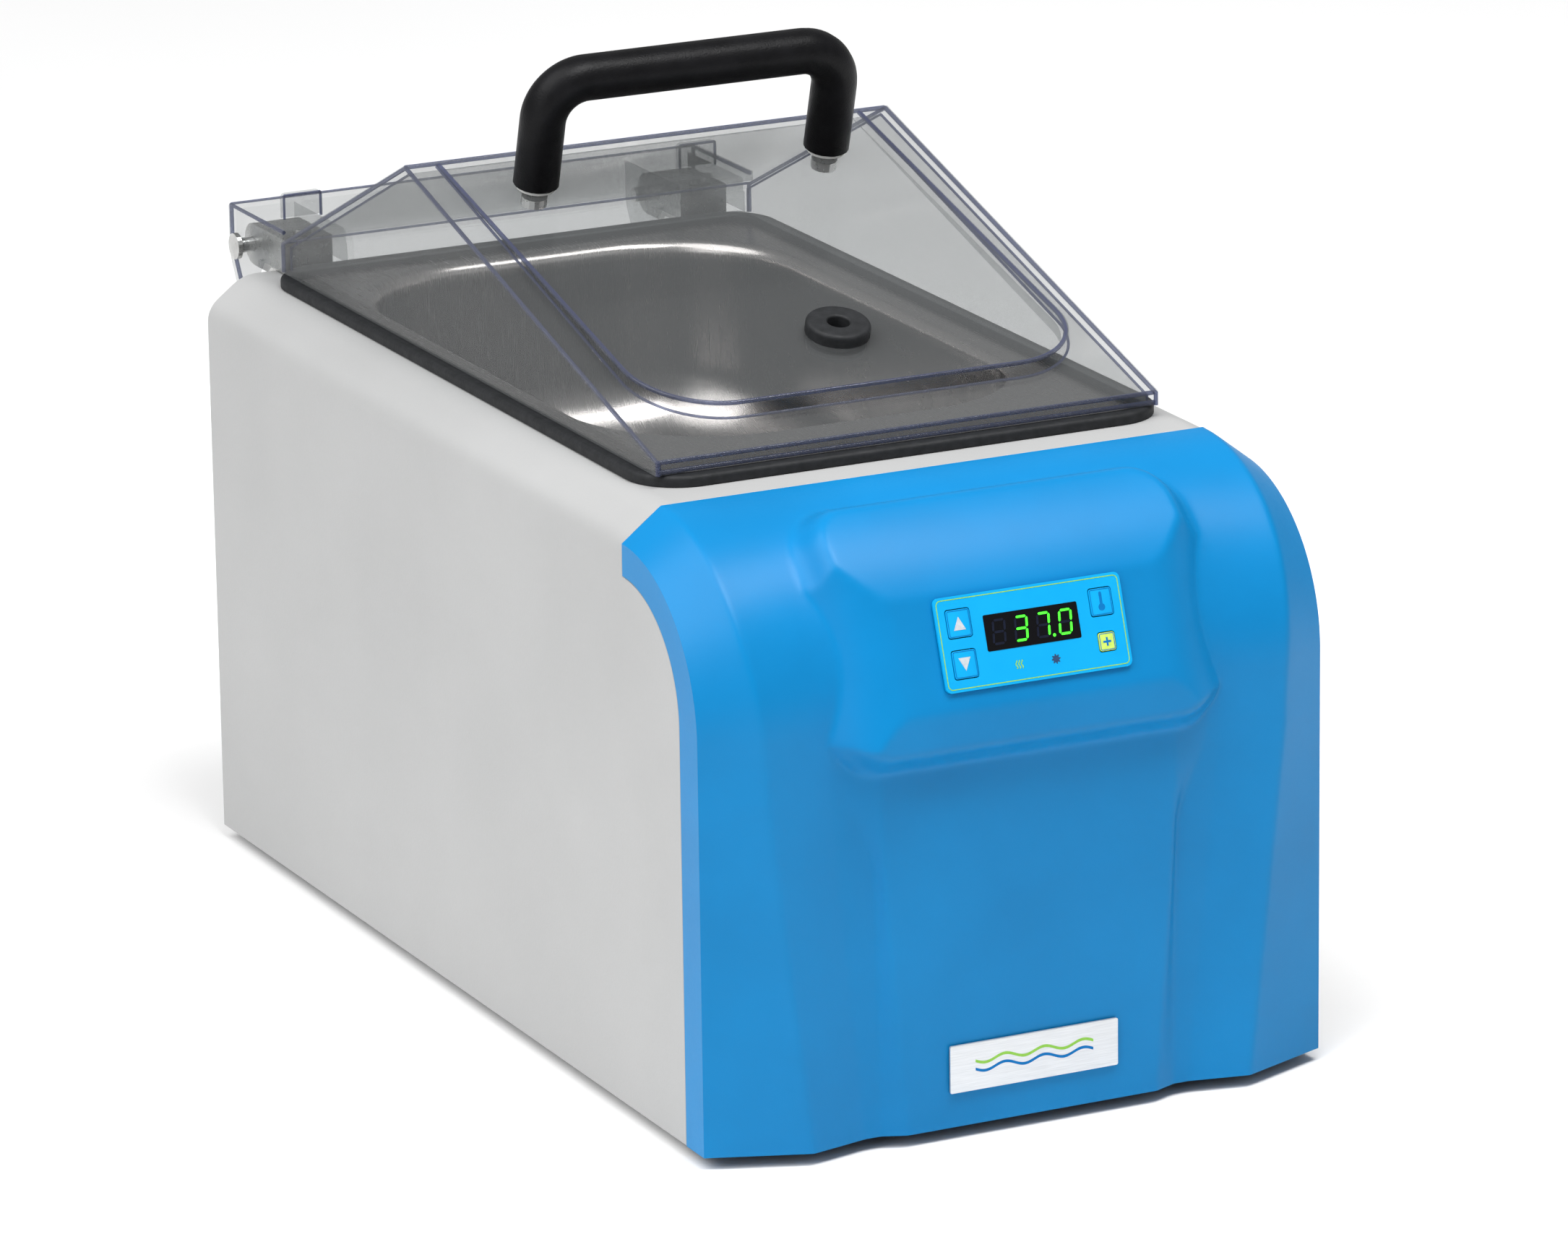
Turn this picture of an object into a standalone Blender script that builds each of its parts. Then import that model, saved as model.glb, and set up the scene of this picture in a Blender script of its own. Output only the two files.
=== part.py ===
"""Laboratory water bath: a powder-coated housing with a heated steel tank, a moulded front
panel with a key pad, and a clear gabled lid on two rear hinges.

Run with: blender --background --python part.py
Units are metres and +Z is up. The front faces -Y and the rubber feet stand on Z = 0.
Inside, every piece is placed from the housing's front bottom edge, which is Y = 0, Z = 0 of
the empty "bath_datum".
"""
import math

import bmesh
import bpy
from mathutils import Matrix, Vector

MM = 0.001
GAP = 0.3 * MM                      # clearance between two pieces that touch

# ---- Housing ----
WIDTH = 210 * MM
DEPTH = 370 * MM
HEIGHT = 188 * MM                   # deck over the housing's bottom edge
SHEET = 1.5 * MM                    # steel sheet
CHAMFER_W = 13 * MM
CHAMFER_H = 10 * MM
FOOT_HEIGHT = 4 * MM
BASE_UNDERSIDE = 0.5 * MM
OVERALL_CENTRE_Y = 189.0 * MM       # middle of the whole object, measured from the front edge

# ---- Front arc, shared by the panel and the housing's front cut ----
ARC_CENTRE_Y = 50 * MM
CORNER_ARC_R = 50 * MM
ARC_CENTRE_Z = HEIGHT - CHAMFER_H - CORNER_ARC_R
CHEEK_DEPTH = 12 * MM
CHEEK_ARC_R = ARC_CENTRE_Y - CHEEK_DEPTH
PANEL_WALL = 2.5 * MM

# ---- Tilted control facet in the panel ----
FACET_TILT = math.radians(19)
FACET_ORIGIN = Vector((0, -12 * MM, 150 * MM))
FACET_UP = Vector((0, math.sin(FACET_TILT), math.cos(FACET_TILT)))
FACET_OUT = Vector((0, -math.cos(FACET_TILT), math.sin(FACET_TILT)))
POD_HEIGHT = 8 * MM                 # how far the pod stands off the panel
POD_HALF_WIDTH = 66 * MM
POD_BOTTOM = 113 * MM
POD_TOP_ANGLE = math.radians(72)
POD_CORNER = 18 * MM
POD_SLOPE = 15 * MM

# ---- Key pad, measured on the facet from its middle ----
PAD_SIZE = (62.5 * MM, 28.5 * MM)
PAD_MIDDLE = 1.5 * MM
PAD_THICKNESS = 0.8 * MM
WINDOW_SIZE = (31.4 * MM, 10.9 * MM)
WINDOW_UP = 1.8 * MM
KEY_TRAVEL = 0.5 * MM
KEYS = {                            # name: (across, up, width, height)
    "up_key": (-23.8 * MM, 6.0 * MM, 7.8 * MM, 8.4 * MM),
    "down_key": (-23.8 * MM, -6.2 * MM, 7.8 * MM, 8.4 * MM),
    "temperature_key": (23.8 * MM, 6.0 * MM, 7.4 * MM, 8.2 * MM),
    "calibration_key": (23.8 * MM, -6.0 * MM, 5.4 * MM, 5.6 * MM),
}

# ---- Tank, gasket and lid ----
FLANGE = (83 * MM, 69.5 * MM, 352.5 * MM)      # half width, front, rear
MOUTH = (72 * MM, 108 * MM, 342 * MM)
MOUTH_CORNER = 46 * MM
TANK_DEPTH = 65 * MM
TANK_FLOOR_R = 26 * MM
TANK_SHEET = 1.0 * MM
GASKET = (89 * MM, 63 * MM, 359 * MM)
GASKET_TOP = HEIGHT + 3.6 * MM
LID_HALF_WIDTH = 85.5 * MM
LID_WALL = 2.5 * MM
LID_BOTTOM = GASKET_TOP + GAP
LID_FRONT = (67 * MM, 196.5 * MM)              # (y, z) of the top of the front lip
LID_APEX = (250 * MM, 249 * MM)
LID_REAR = (352 * MM, 202 * MM)
PLATEAU_HALF_WIDTH = 75 * MM
PLATEAU_FRONT = 85 * MM
PLATEAU_CORNER = 27 * MM
PLATEAU_RISE = 4.5 * MM
SLOPE = math.atan2(LID_APEX[1] - LID_FRONT[1], LID_APEX[0] - LID_FRONT[0])

# ---- Hinges ----
HINGE_Y = 388 * MM
HINGE_Z = 193 * MM
PIN_R = 2.4 * MM
PIN_HOLE_R = 2.5 * MM
BRACKET_SPAN = (63.5 * MM, 80.5 * MM)          # inner and outer side of each bracket
EAR_SPANS = ((59.5 * MM, 62.0 * MM), (83.0 * MM, 85.5 * MM))
CHANNEL_REAR = 396 * MM
CHANNEL_TOP = 206 * MM

# ---- Handle and grommet ----
HANDLE_HALF_SPAN = 51 * MM
HANDLE_Y = 226 * MM
HANDLE_R = 7.4 * MM
HANDLE_RISE = 38.5 * MM                           # centre line over the lid, along the slope's normal
HANDLE_BEND = 13.5 * MM
GROMMET_Y = 117 * MM
GROMMET_R = 10.2 * MM
GROMMET_HOLE_R = 3.5 * MM

COLLECTION = "water_bath"
SIDES = ((-1, "left"), (1, "right"))


# ---------------------------------------------------------------- scene and materials

def clear_scene():
    """Remove every object, then make the collections for parts and cutters."""
    for obj in list(bpy.data.objects):
        bpy.data.objects.remove(obj, do_unlink=True)
    for name in (COLLECTION, "cutters"):
        collection = bpy.data.collections.new(name)
        bpy.context.scene.collection.children.link(collection)


def material(name, colour, roughness, metallic=0.0, alpha=1.0):
    """Make a Principled material, or return the one already made."""
    found = bpy.data.materials.get(name)
    if found:
        return found
    made = bpy.data.materials.new(name)
    made.use_nodes = True
    shader = made.node_tree.nodes["Principled BSDF"]
    shader.inputs["Base Color"].default_value = (*colour, 1.0)
    shader.inputs["Roughness"].default_value = roughness
    shader.inputs["Metallic"].default_value = metallic
    shader.inputs["Alpha"].default_value = alpha
    made.diffuse_color = (*colour, alpha)
    return made


def white_paint():
    return material("white_powder_coat", (0.68, 0.68, 0.67), 0.5)


def blue_plastic():
    return material("blue_plastic", (0.0, 0.24, 0.62), 0.35)


def steel():
    return material("stainless_steel", (0.42, 0.41, 0.40), 0.3, 1.0)


def black_rubber():
    return material("black_rubber", (0.02, 0.021, 0.023), 0.7)


def clear_plastic():
    return material("clear_polycarbonate", (0.85, 0.88, 0.92), 0.05, 0.0, 0.3)


def black_plastic():
    return material("black_plastic", (0.015, 0.015, 0.017), 0.4)


# ---------------------------------------------------------------- building helpers

def adopt(obj, look, parent, at=(0, 0, 0)):
    """Give an object its material, collection, parent and place under that parent."""
    for collection in list(obj.users_collection):
        collection.objects.unlink(obj)
    if look is None:
        bpy.data.collections["cutters"].objects.link(obj)
        obj.hide_render = True
        obj.display_type = "WIRE"
    else:
        bpy.data.collections[COLLECTION].objects.link(obj)
        obj.data.materials.clear()
        obj.data.materials.append(look)
    obj.parent = parent
    obj.location = Vector(at) - datum_offset(parent)
    return obj


def datum_offset(parent):
    """Place of an empty, measured from the bath's datum."""
    offset = Vector((0, 0, 0))
    while parent is not None and parent.parent is not None:
        offset += parent.location
        parent = parent.parent
    return offset


def empty(name, at, parent=None):
    """Add an empty that carries other objects."""
    obj = bpy.data.objects.new(name, None)
    bpy.data.collections[COLLECTION].objects.link(obj)
    obj.empty_display_size = 0.02
    obj.parent = parent
    obj.location = Vector(at) - datum_offset(parent)
    return obj


def from_bmesh(name, bm):
    """Turn a bmesh into an object with its faces pointing out."""
    bmesh.ops.recalc_face_normals(bm, faces=bm.faces)
    mesh = bpy.data.meshes.new(name)
    bm.to_mesh(mesh)
    bm.free()
    return bpy.data.objects.new(name, mesh)


def box(name, size, centre, look, parent, bevel=0.0, frame=None):
    """Add a box; frame is a 3x3 rotation for a box that stands at an angle."""
    bpy.ops.mesh.primitive_cube_add(size=1)
    obj = bpy.context.object
    obj.name = name
    obj.data.name = name
    obj.data.transform(Matrix.Diagonal((*size, 1)))
    if frame is not None:
        obj.data.transform(frame.to_4x4())
    adopt(obj, look, parent, centre)
    if bevel:
        soften(obj, bevel)
    return obj


def soften(obj, width, segments=2):
    """Round an object's edges."""
    bevel = obj.modifiers.new("rounded_edges", "BEVEL")
    bevel.width = width
    bevel.segments = segments
    bevel.limit_method = "ANGLE"
    return obj


def cylinder(name, radius, length, centre, direction, look, parent, sides=24):
    """Add a cylinder along a direction."""
    bpy.ops.mesh.primitive_cylinder_add(vertices=sides, radius=radius, depth=length)
    obj = bpy.context.object
    obj.name = name
    obj.data.name = name
    turn = Vector((0, 0, 1)).rotation_difference(Vector(direction))
    obj.data.transform(turn.to_matrix().to_4x4())
    adopt(obj, look, parent, centre)
    shade_round(obj)
    return obj


def shade_round(obj):
    """Smooth a round object but keep its sharp rims."""
    obj.data.shade_smooth()
    obj.data.set_sharp_from_angle(angle=math.radians(35))


PLANES = {                          # columns: where an outline's x, y and thickness point
    "XY": Matrix(((1, 0, 0), (0, 1, 0), (0, 0, 1))),
    "YZ": Matrix(((0, 0, 1), (1, 0, 0), (0, 1, 0))),
    "XZ": Matrix(((1, 0, 0), (0, 0, -1), (0, 1, 0))),
}


def prism(name, outline, plane, span, look, parent, hole=None):
    """Extrude a flat outline through a span of the axis that its plane leaves out."""
    curve = bpy.data.curves.new(name, "CURVE")
    curve.dimensions = "2D"
    curve.fill_mode = "BOTH"
    curve.extrude = abs(span[1] - span[0]) / 2
    for loop in filter(None, (outline, hole)):
        spline = curve.splines.new("POLY")
        spline.points.add(len(loop) - 1)
        for point, (x, y) in zip(spline.points, loop):
            point.co = (x, y, 0, 1)
        spline.use_cyclic_u = True
    middle = (span[0] + span[1]) / 2
    shift = Vector((0, 0, middle)) if plane != "XZ" else Vector((0, 0, -middle))
    place = PLANES[plane].to_4x4() @ Matrix.Translation(shift)
    return solid_from_curve(name, curve, look, parent, place)


def solid_from_curve(name, curve, look, parent, place=None):
    """Turn a curve into one closed mesh object."""
    carrier = bpy.data.objects.new(name + "_curve", curve)
    bpy.context.scene.collection.objects.link(carrier)
    bpy.context.view_layer.update()
    evaluated = carrier.evaluated_get(bpy.context.evaluated_depsgraph_get())
    mesh = bpy.data.meshes.new_from_object(evaluated)
    bm = bmesh.new()
    bm.from_mesh(mesh)
    bmesh.ops.remove_doubles(bm, verts=bm.verts, dist=1e-6)
    if place is not None:
        bmesh.ops.transform(bm, matrix=place, verts=bm.verts)
    bpy.data.objects.remove(carrier, do_unlink=True)
    obj = from_bmesh(name, bm)
    return adopt(obj, look, parent)


def turned(name, profile, look, parent, at, tilt=0.0, sides=32):
    """Turn a closed (radius, height) profile about Z, then tilt it about X."""
    bm = bmesh.new()
    points = [bm.verts.new((radius, 0, height)) for radius, height in profile]
    for first, second in zip(points, points[1:] + points[:1]):
        bm.edges.new((first, second))
    mesh = bpy.data.meshes.new(name)
    bm.to_mesh(mesh)
    bm.free()
    obj = bpy.data.objects.new(name, mesh)
    screw = obj.modifiers.new("turn", "SCREW")
    screw.steps = sides
    screw.render_steps = sides
    screw.use_merge_vertices = True
    screw.merge_threshold = 0.00001
    adopt(obj, look, parent, at)
    obj.rotation_euler.x = tilt
    return obj


def boolean(obj, tool, operation="DIFFERENCE"):
    """Cut an object with a tool, or join the tool to it."""
    modifier = obj.modifiers.new(operation.lower() + "_" + tool.name, "BOOLEAN")
    modifier.operation = operation
    modifier.solver = "EXACT"
    modifier.object = tool


def arc(centre, radius, start, end, steps):
    """Points along an arc, angles in degrees."""
    points = []
    for step in range(steps + 1):
        angle = math.radians(start + (end - start) * step / steps)
        points.append((centre[0] + radius * math.cos(angle), centre[1] + radius * math.sin(angle)))
    return points


def rounded_rectangle(half_width, low, high, radius, steps=6):
    """Outline from -half_width to half_width and from low to high, anticlockwise."""
    x, r = half_width - radius, radius
    return (arc((x, low + r), r, -90, 0, steps) + arc((x, high - r), r, 0, 90, steps)
            + arc((-x, high - r), r, 90, 180, steps) + arc((-x, low + r), r, 180, 270, steps))


def ring_loft(name, rings, look, parent, closed=True, cap=False):
    """Skin a list of rings that have the same number of points."""
    bm = bmesh.new()
    rows = [[bm.verts.new(point) for point in ring] for ring in rings]
    pairs = list(zip(rows, rows[1:]))
    if closed:
        pairs.append((rows[-1], rows[0]))
    for lower, upper in pairs:
        for i in range(len(lower)):
            j = (i + 1) % len(lower)
            bm.faces.new((lower[i], lower[j], upper[j], upper[i]))
    if cap:
        bm.faces.new(rows[-1])
    obj = from_bmesh(name, bm)
    adopt(obj, look, parent)
    shade_round(obj)
    return obj


def clamp(value, low=0.0, high=1.0):
    return max(low, min(high, value))


def smooth(value):
    """Ease from 0 to 1."""
    value = clamp(value)
    return value * value * (3 - 2 * value)


def blend(first, second, amount):
    return first + (second - first) * amount


# ---------------------------------------------------------------- housing

def front_boundary(offset=0.0):
    """(y, z) points of the line where the side of the housing meets the panel's cheek."""
    radius = CHEEK_ARC_R - offset
    centre = (ARC_CENTRE_Y, HEIGHT - 20 * MM - CHEEK_ARC_R)
    return [(CHEEK_DEPTH + offset, -1 * MM)] + arc(centre, radius, 180, 95, 10)


def make_housing_shell(datum):
    """Top and sides in one folded sheet, cut to the front arc and round the tank."""
    half = WIDTH / 2
    path = [(-half, 0)]
    path += fold(-half, HEIGHT - CHAMFER_H, -half + CHAMFER_W, HEIGHT)
    path += [(-x, z) for x, z in reversed(path)]
    bm = bmesh.new()
    rows = [[bm.verts.new((x, y, z)) for x, z in path] for y in (0, DEPTH)]
    for i in range(len(path) - 1):
        bm.faces.new((rows[0][i], rows[0][i + 1], rows[1][i + 1], rows[1][i]))
    shell = from_bmesh("housing_shell", bm)
    adopt(shell, white_paint(), datum)
    thicken(shell, SHEET)
    shade_round(shell)

    outline = front_boundary(GAP)
    top = HEIGHT + 5 * MM
    outline += [(ARC_CENTRE_Y + GAP, HEIGHT - 20 * MM), (ARC_CENTRE_Y + GAP, top), (-20 * MM, top),
                (-20 * MM, -1 * MM)]
    front = prism("cut_housing_front", outline, "YZ", (-WIDTH, WIDTH), None, datum)
    boolean(shell, front)
    half_width, low, high = FLANGE
    inset = 5 * MM
    mouth = rounded_rectangle(half_width - inset, low + inset, high - inset, 10 * MM)
    hole = prism("cut_tank_hole", mouth, "XY", (HEIGHT - 10 * MM, HEIGHT + 10 * MM), None, datum)
    boolean(shell, hole)
    return shell


def fold(x0, z0, x1, z1):
    """A chamfer from (x0, z0) to (x1, z1) with both corners eased."""
    ease = 0.28
    dx, dz = x1 - x0, z1 - z0
    length = math.hypot(dx, dz)
    run = length * ease
    points = []
    for px, pz, ax, az, bx, bz in ((x0, z0, 0, -1, dx / length, dz / length),
                                   (x1, z1, -dx / length, -dz / length, math.copysign(1, dx), 0)):
        for step in range(4):
            t = step / 3
            first = (px + ax * run * (1 - t), pz + az * run * (1 - t))
            second = (px + bx * run * t, pz + bz * run * t)
            points.append((blend(first[0], second[0], t), blend(first[1], second[1], t)))
    return points


def thicken(obj, thickness, offset=-1.0):
    """Give an open surface its wall, inwards by default."""
    solidify = obj.modifiers.new("wall", "SOLIDIFY")
    solidify.thickness = thickness
    solidify.offset = offset
    solidify.use_even_offset = True
    return solidify


# ---------------------------------------------------------------- front panel

def arc_length_end():
    return ARC_CENTRE_Z + CORNER_ARC_R * math.pi / 2


def profile_frame(t):
    """Point and outward normal, as (y, z) pairs, at length t along the panel's corner edge."""
    if t <= ARC_CENTRE_Z:
        return (0.0, t), (-1.0, 0.0)
    angle = (t - ARC_CENTRE_Z) / CORNER_ARC_R
    normal = (-math.cos(angle), math.sin(angle))
    point = (ARC_CENTRE_Y + CORNER_ARC_R * normal[0], ARC_CENTRE_Z + CORNER_ARC_R * normal[1])
    return point, normal


def facet_offset(t, x):
    """Distance along the normal from the corner profile to the scooped control facet."""
    point, normal = profile_frame(t)
    out = (FACET_OUT.y, FACET_OUT.z)
    reach = (FACET_ORIGIN.y - point[0]) * out[0] + (FACET_ORIGIN.z - point[1]) * out[1]
    facing = normal[0] * out[0] + normal[1] * out[1]
    side = max(0.0, abs(x) - 42 * MM)
    return reach / facing - 0.022 * side * side / MM


def pod_amount(t, x):
    """1 on the control pod, easing to 0 at its rounded outline."""
    top = ARC_CENTRE_Z + CORNER_ARC_R * POD_TOP_ANGLE
    middle, half = (top + POD_BOTTOM) / 2, (top - POD_BOTTOM) / 2
    dx = abs(x) - (POD_HALF_WIDTH - POD_CORNER)
    dt = abs(t - middle) - (half - POD_CORNER)
    outside = math.hypot(max(dx, 0), max(dt, 0)) + min(max(dx, dt), 0)
    return smooth((POD_CORNER - outside) / POD_SLOPE)


def panel_knots(t):
    """Half widths of the panel's long creases at length t, from the corner to the middle."""
    low = clamp(t / (110 * MM))
    high = clamp((t - 110 * MM) / (95 * MM))
    ridge = blend(blend(74.3 * MM, 87 * MM, low), 92 * MM, smooth(high * 1.4))
    valley = blend(blend(55.0 * MM, 65.5 * MM, low), 69 * MM, smooth(high * 2.0))
    groove = blend(blend(50 * MM, 50 * MM, low), 62 * MM, smooth((t - 80 * MM) / (35 * MM)))
    field = blend(42.5 * MM, 49.5 * MM, clamp(t / (80 * MM)))
    return ridge, valley, groove, field


def panel_offset(t, x):
    """Height of the panel's surface over its corner profile."""
    ridge, valley, groove, field = panel_knots(t)
    end = smooth((t - ARC_CENTRE_Z) / (60 * MM))
    ridge_h = blend(12 * MM, 10 * MM, clamp(t / ARC_CENTRE_Z))
    valley_h = blend(7.8 * MM, 10 * MM, end)
    field_h = blend(11 * MM, 10 * MM, clamp(t / ARC_CENTRE_Z))
    knots = [(0, field_h), (field, field_h), (groove, valley_h), (valley, valley_h),
             (ridge, ridge_h), (WIDTH / 2, 0)]
    x = abs(x)
    height = 0.0
    for (x0, h0), (x1, h1) in zip(knots, knots[1:]):
        if x0 <= x <= x1:
            height = blend(h0, h1, (x - x0) / (x1 - x0))
            break
    pod = min(field_h + POD_HEIGHT * pod_amount(t, x), facet_offset(t, x))
    return max(height, pod) if pod_amount(t, x) > 0 else height


def panel_columns(t):
    """Half widths at which a row of the panel has points."""
    ridge, valley, groove, field = panel_knots(t)
    crease = [WIDTH / 2, ridge, blend(ridge, valley, 0.5), valley, groove]
    return crease + [blend(0, groove, f) for f in (0.93, 0.87, field / groove if t < 80 * MM else 0.8,
                                                   0.67, 0.34)]


def panel_rows():
    """Lengths along the profile at which the panel has a row of points."""
    flat = [0, 20, 40, 60, 80, 95, 106, 113, 118, 123]
    rows = [length * MM for length in flat]
    turns = 16
    rows += [ARC_CENTRE_Z + CORNER_ARC_R * math.pi / 2 * i / turns for i in range(turns + 1)]
    return rows


def panel_point(t, x, offset):
    point, normal = profile_frame(t)
    return Vector((x, point[0] + normal[0] * offset, point[1] + normal[1] * offset))


def cheek_point(t, side):
    """Rear edge of the panel's cheek, on the side plane of the housing."""
    centre_z = HEIGHT - 20 * MM - CHEEK_ARC_R
    angle = max(0.0, (t - ARC_CENTRE_Z) / CORNER_ARC_R)
    if angle == 0.0:
        return Vector((side * WIDTH / 2, CHEEK_DEPTH, t * centre_z / ARC_CENTRE_Z))
    y = ARC_CENTRE_Y - CHEEK_ARC_R * math.cos(angle)
    return Vector((side * WIDTH / 2, y, centre_z + CHEEK_ARC_R * math.sin(angle)))


def make_front_panel(datum):
    """Moulded panel: corner facets, long creases and the raised control pod."""
    bm = bmesh.new()
    grid = []
    for t in panel_rows():
        columns = panel_columns(t)
        row = [cheek_point(t, -1)]
        row += [panel_point(t, -x, panel_offset(t, x)) for x in columns]
        row.append(panel_point(t, 0, panel_offset(t, 0)))
        row += [panel_point(t, x, panel_offset(t, x)) for x in reversed(columns)]
        row.append(cheek_point(t, 1))
        grid.append([bm.verts.new(point) for point in row])
    for lower, upper in zip(grid, grid[1:]):
        for i in range(len(lower) - 1):
            bm.faces.new((lower[i], lower[i + 1], upper[i + 1], upper[i]))
    panel = from_bmesh("front_panel", bm)
    adopt(panel, blue_plastic(), datum)
    thicken(panel, PANEL_WALL)
    panel.data.shade_smooth()
    panel.data.set_sharp_from_angle(angle=math.radians(25))
    for name, (across, up, width, height) in KEYS.items():
        size = (width + 0.8 * MM, height + 0.8 * MM, 12 * MM)
        boolean(panel, facet_box("cut_" + name, across, up, size, -3 * MM, None, datum))
    window = facet_box("cut_window", 0, WINDOW_UP, (*WINDOW_SIZE, 12 * MM), -3 * MM, None, datum)
    boolean(panel, window)
    return panel


def facet_frame():
    """Rotation from box axes to the facet: across, up the facet, out of the facet."""
    return Matrix((Vector((1, 0, 0)), FACET_UP, FACET_OUT)).transposed()


def on_facet(across, up, out):
    """A point measured on the control facet, from the middle of the key pad."""
    return FACET_ORIGIN + Vector((across, 0, 0)) + FACET_UP * (PAD_MIDDLE + up) + FACET_OUT * out


def facet_box(name, across, up, size, out, look, parent, bevel=0.0):
    """A box whose middle lies out over the facet."""
    return box(name, size, on_facet(across, up, out), look, parent, bevel, facet_frame())


def make_key_pad(datum, travel_parents):
    """Printed pad with its window lens, four keys, and the circuit behind them."""
    pad_out = GAP + PAD_THICKNESS / 2
    blue = material("pad_film", (0.0, 0.36, 0.75), 0.4)
    pad = facet_box("key_pad", 0, 0, (*PAD_SIZE, PAD_THICKNESS), pad_out, blue, datum)
    for name, (across, up, width, height) in KEYS.items():
        size = (width + 0.6 * MM, height + 0.6 * MM, 4 * MM)
        boolean(pad, facet_box("cut_pad_" + name, across, up, size, 0, None, datum))
        depth = 5.4 * MM
        out = GAP + PAD_THICKNESS + 0.2 * MM - depth / 2
        facet_box(name, across, up, (width, height, depth), out, blue, travel_parents[name], 0.4 * MM)
    hole = (WINDOW_SIZE[0] - 2 * GAP, WINDOW_SIZE[1] - 2 * GAP, 4 * MM)
    boolean(pad, facet_box("cut_pad_window", 0, WINDOW_UP, hole, 0, None, datum))
    lens_size = (hole[0] - 2 * GAP, hole[1] - 2 * GAP, 3.2 * MM)
    lens_out = GAP + PAD_THICKNESS - 0.1 * MM - lens_size[2] / 2
    dark = material("dark_lens", (0.005, 0.006, 0.006), 0.08)
    facet_box("display_lens", 0, WINDOW_UP, lens_size, lens_out, dark, datum)
    display = (WINDOW_SIZE[0] - 1.0 * MM, 10.0 * MM, 7.0 * MM)
    display_out = lens_out - lens_size[2] / 2 - GAP - display[2] / 2
    facet_box("display_module", 0, WINDOW_UP, display, display_out, black_plastic(), datum)
    board_out = display_out - display[2] / 2 - GAP - 0.8 * MM
    green = material("circuit_board", (0.02, 0.16, 0.06), 0.5)
    facet_box("control_board", 0, -1 * MM, (74 * MM, 36 * MM, 1.6 * MM), board_out, green, datum)


# ---------------------------------------------------------------- tank and seals

def make_tank(datum):
    """Deep-drawn tank: flange, rolled rim, straight walls and a wide floor radius."""
    def ring(half_width, low, high, radius, z):
        return [(x, y, z) for x, y in rounded_rectangle(half_width, low, high, radius)]

    top = HEIGHT + GAP + TANK_SHEET
    half_width, low, high = FLANGE
    rings = [ring(half_width, low, high, 12 * MM, top)]
    half_width, low, high = MOUTH
    rim = 4 * MM
    for angle in (90, 60, 30, 0):
        reach = rim * (1 - math.cos(math.radians(angle)))
        drop = rim * (1 - math.sin(math.radians(angle)))
        grow = rim - reach
        rings.append(ring(half_width + rim - grow, low - rim + grow, high + rim - grow,
                          MOUTH_CORNER + rim - grow, top - drop))
    floor = top - TANK_DEPTH
    draft = 1.5 * MM
    for angle in (0, 18, 36, 54, 72, 90):
        inset = draft + TANK_FLOOR_R * (1 - math.cos(math.radians(angle)))
        lift = TANK_FLOOR_R * (1 - math.sin(math.radians(angle)))
        rings.append(ring(half_width - inset, low + inset, high - inset,
                          MOUTH_CORNER - inset, floor + lift))
    tank = ring_loft("tank", rings, steel(), datum, closed=False, cap=True)
    for polygon in tank.data.polygons:
        if polygon.normal.z < -0.5:
            tank.data.flip_normals()
            break
    thicken(tank, TANK_SHEET)
    return tank


def make_tank_gasket(datum):
    """Rubber frame round the tank's flange, with a rounded top that the lid rests on."""
    half_width, low, high = GASKET
    base = HEIGHT + GAP
    band = GASKET[0] - FLANGE[0] - GAP
    section = [(0, base), (0, GASKET_TOP - 1.4 * MM), (0.6 * MM, GASKET_TOP - 0.4 * MM),
               (1.6 * MM, GASKET_TOP), (band - 1.2 * MM, GASKET_TOP),
               (band - 0.3 * MM, GASKET_TOP - 0.5 * MM), (band, GASKET_TOP - 1.4 * MM), (band, base)]
    rings = []
    for inset, z in section:
        outline = rounded_rectangle(half_width - inset, low + inset, high - inset, 17.5 * MM - inset)
        rings.append([(x, y, z) for x, y in outline])
    return ring_loft("tank_gasket", rings, black_rubber(), datum)


# ---------------------------------------------------------------- lid

def slope_point(y, out=0.0):
    """(y, z) of a point on the lid's front slope, moved out along its normal."""
    z = LID_FRONT[1] + (y - LID_FRONT[0]) * math.tan(SLOPE)
    return y - out * math.sin(SLOPE), z + out * math.cos(SLOPE)


def gable_outline(inset, bottom):
    """(y, z) outline of the lid's side, drawn in by the wall."""
    front, rear = LID_FRONT[0] + inset, LID_REAR[0] - inset
    rear_slope = (LID_APEX[1] - LID_REAR[1]) / (LID_REAR[0] - LID_APEX[0])
    drop_front = inset / math.cos(SLOPE)
    drop_rear = inset / math.cos(math.atan(rear_slope))
    z_front = LID_FRONT[1] + inset * math.tan(SLOPE) - drop_front
    z_rear = LID_REAR[1] + inset * rear_slope - drop_rear
    rise = math.tan(SLOPE)
    y_apex = (z_rear - z_front + rise * front + rear_slope * rear) / (rise + rear_slope)
    z_apex = z_front + rise * (y_apex - front)
    return [(front, bottom), (rear, bottom), (rear, z_rear), (y_apex, z_apex), (front, z_front)]


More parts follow.
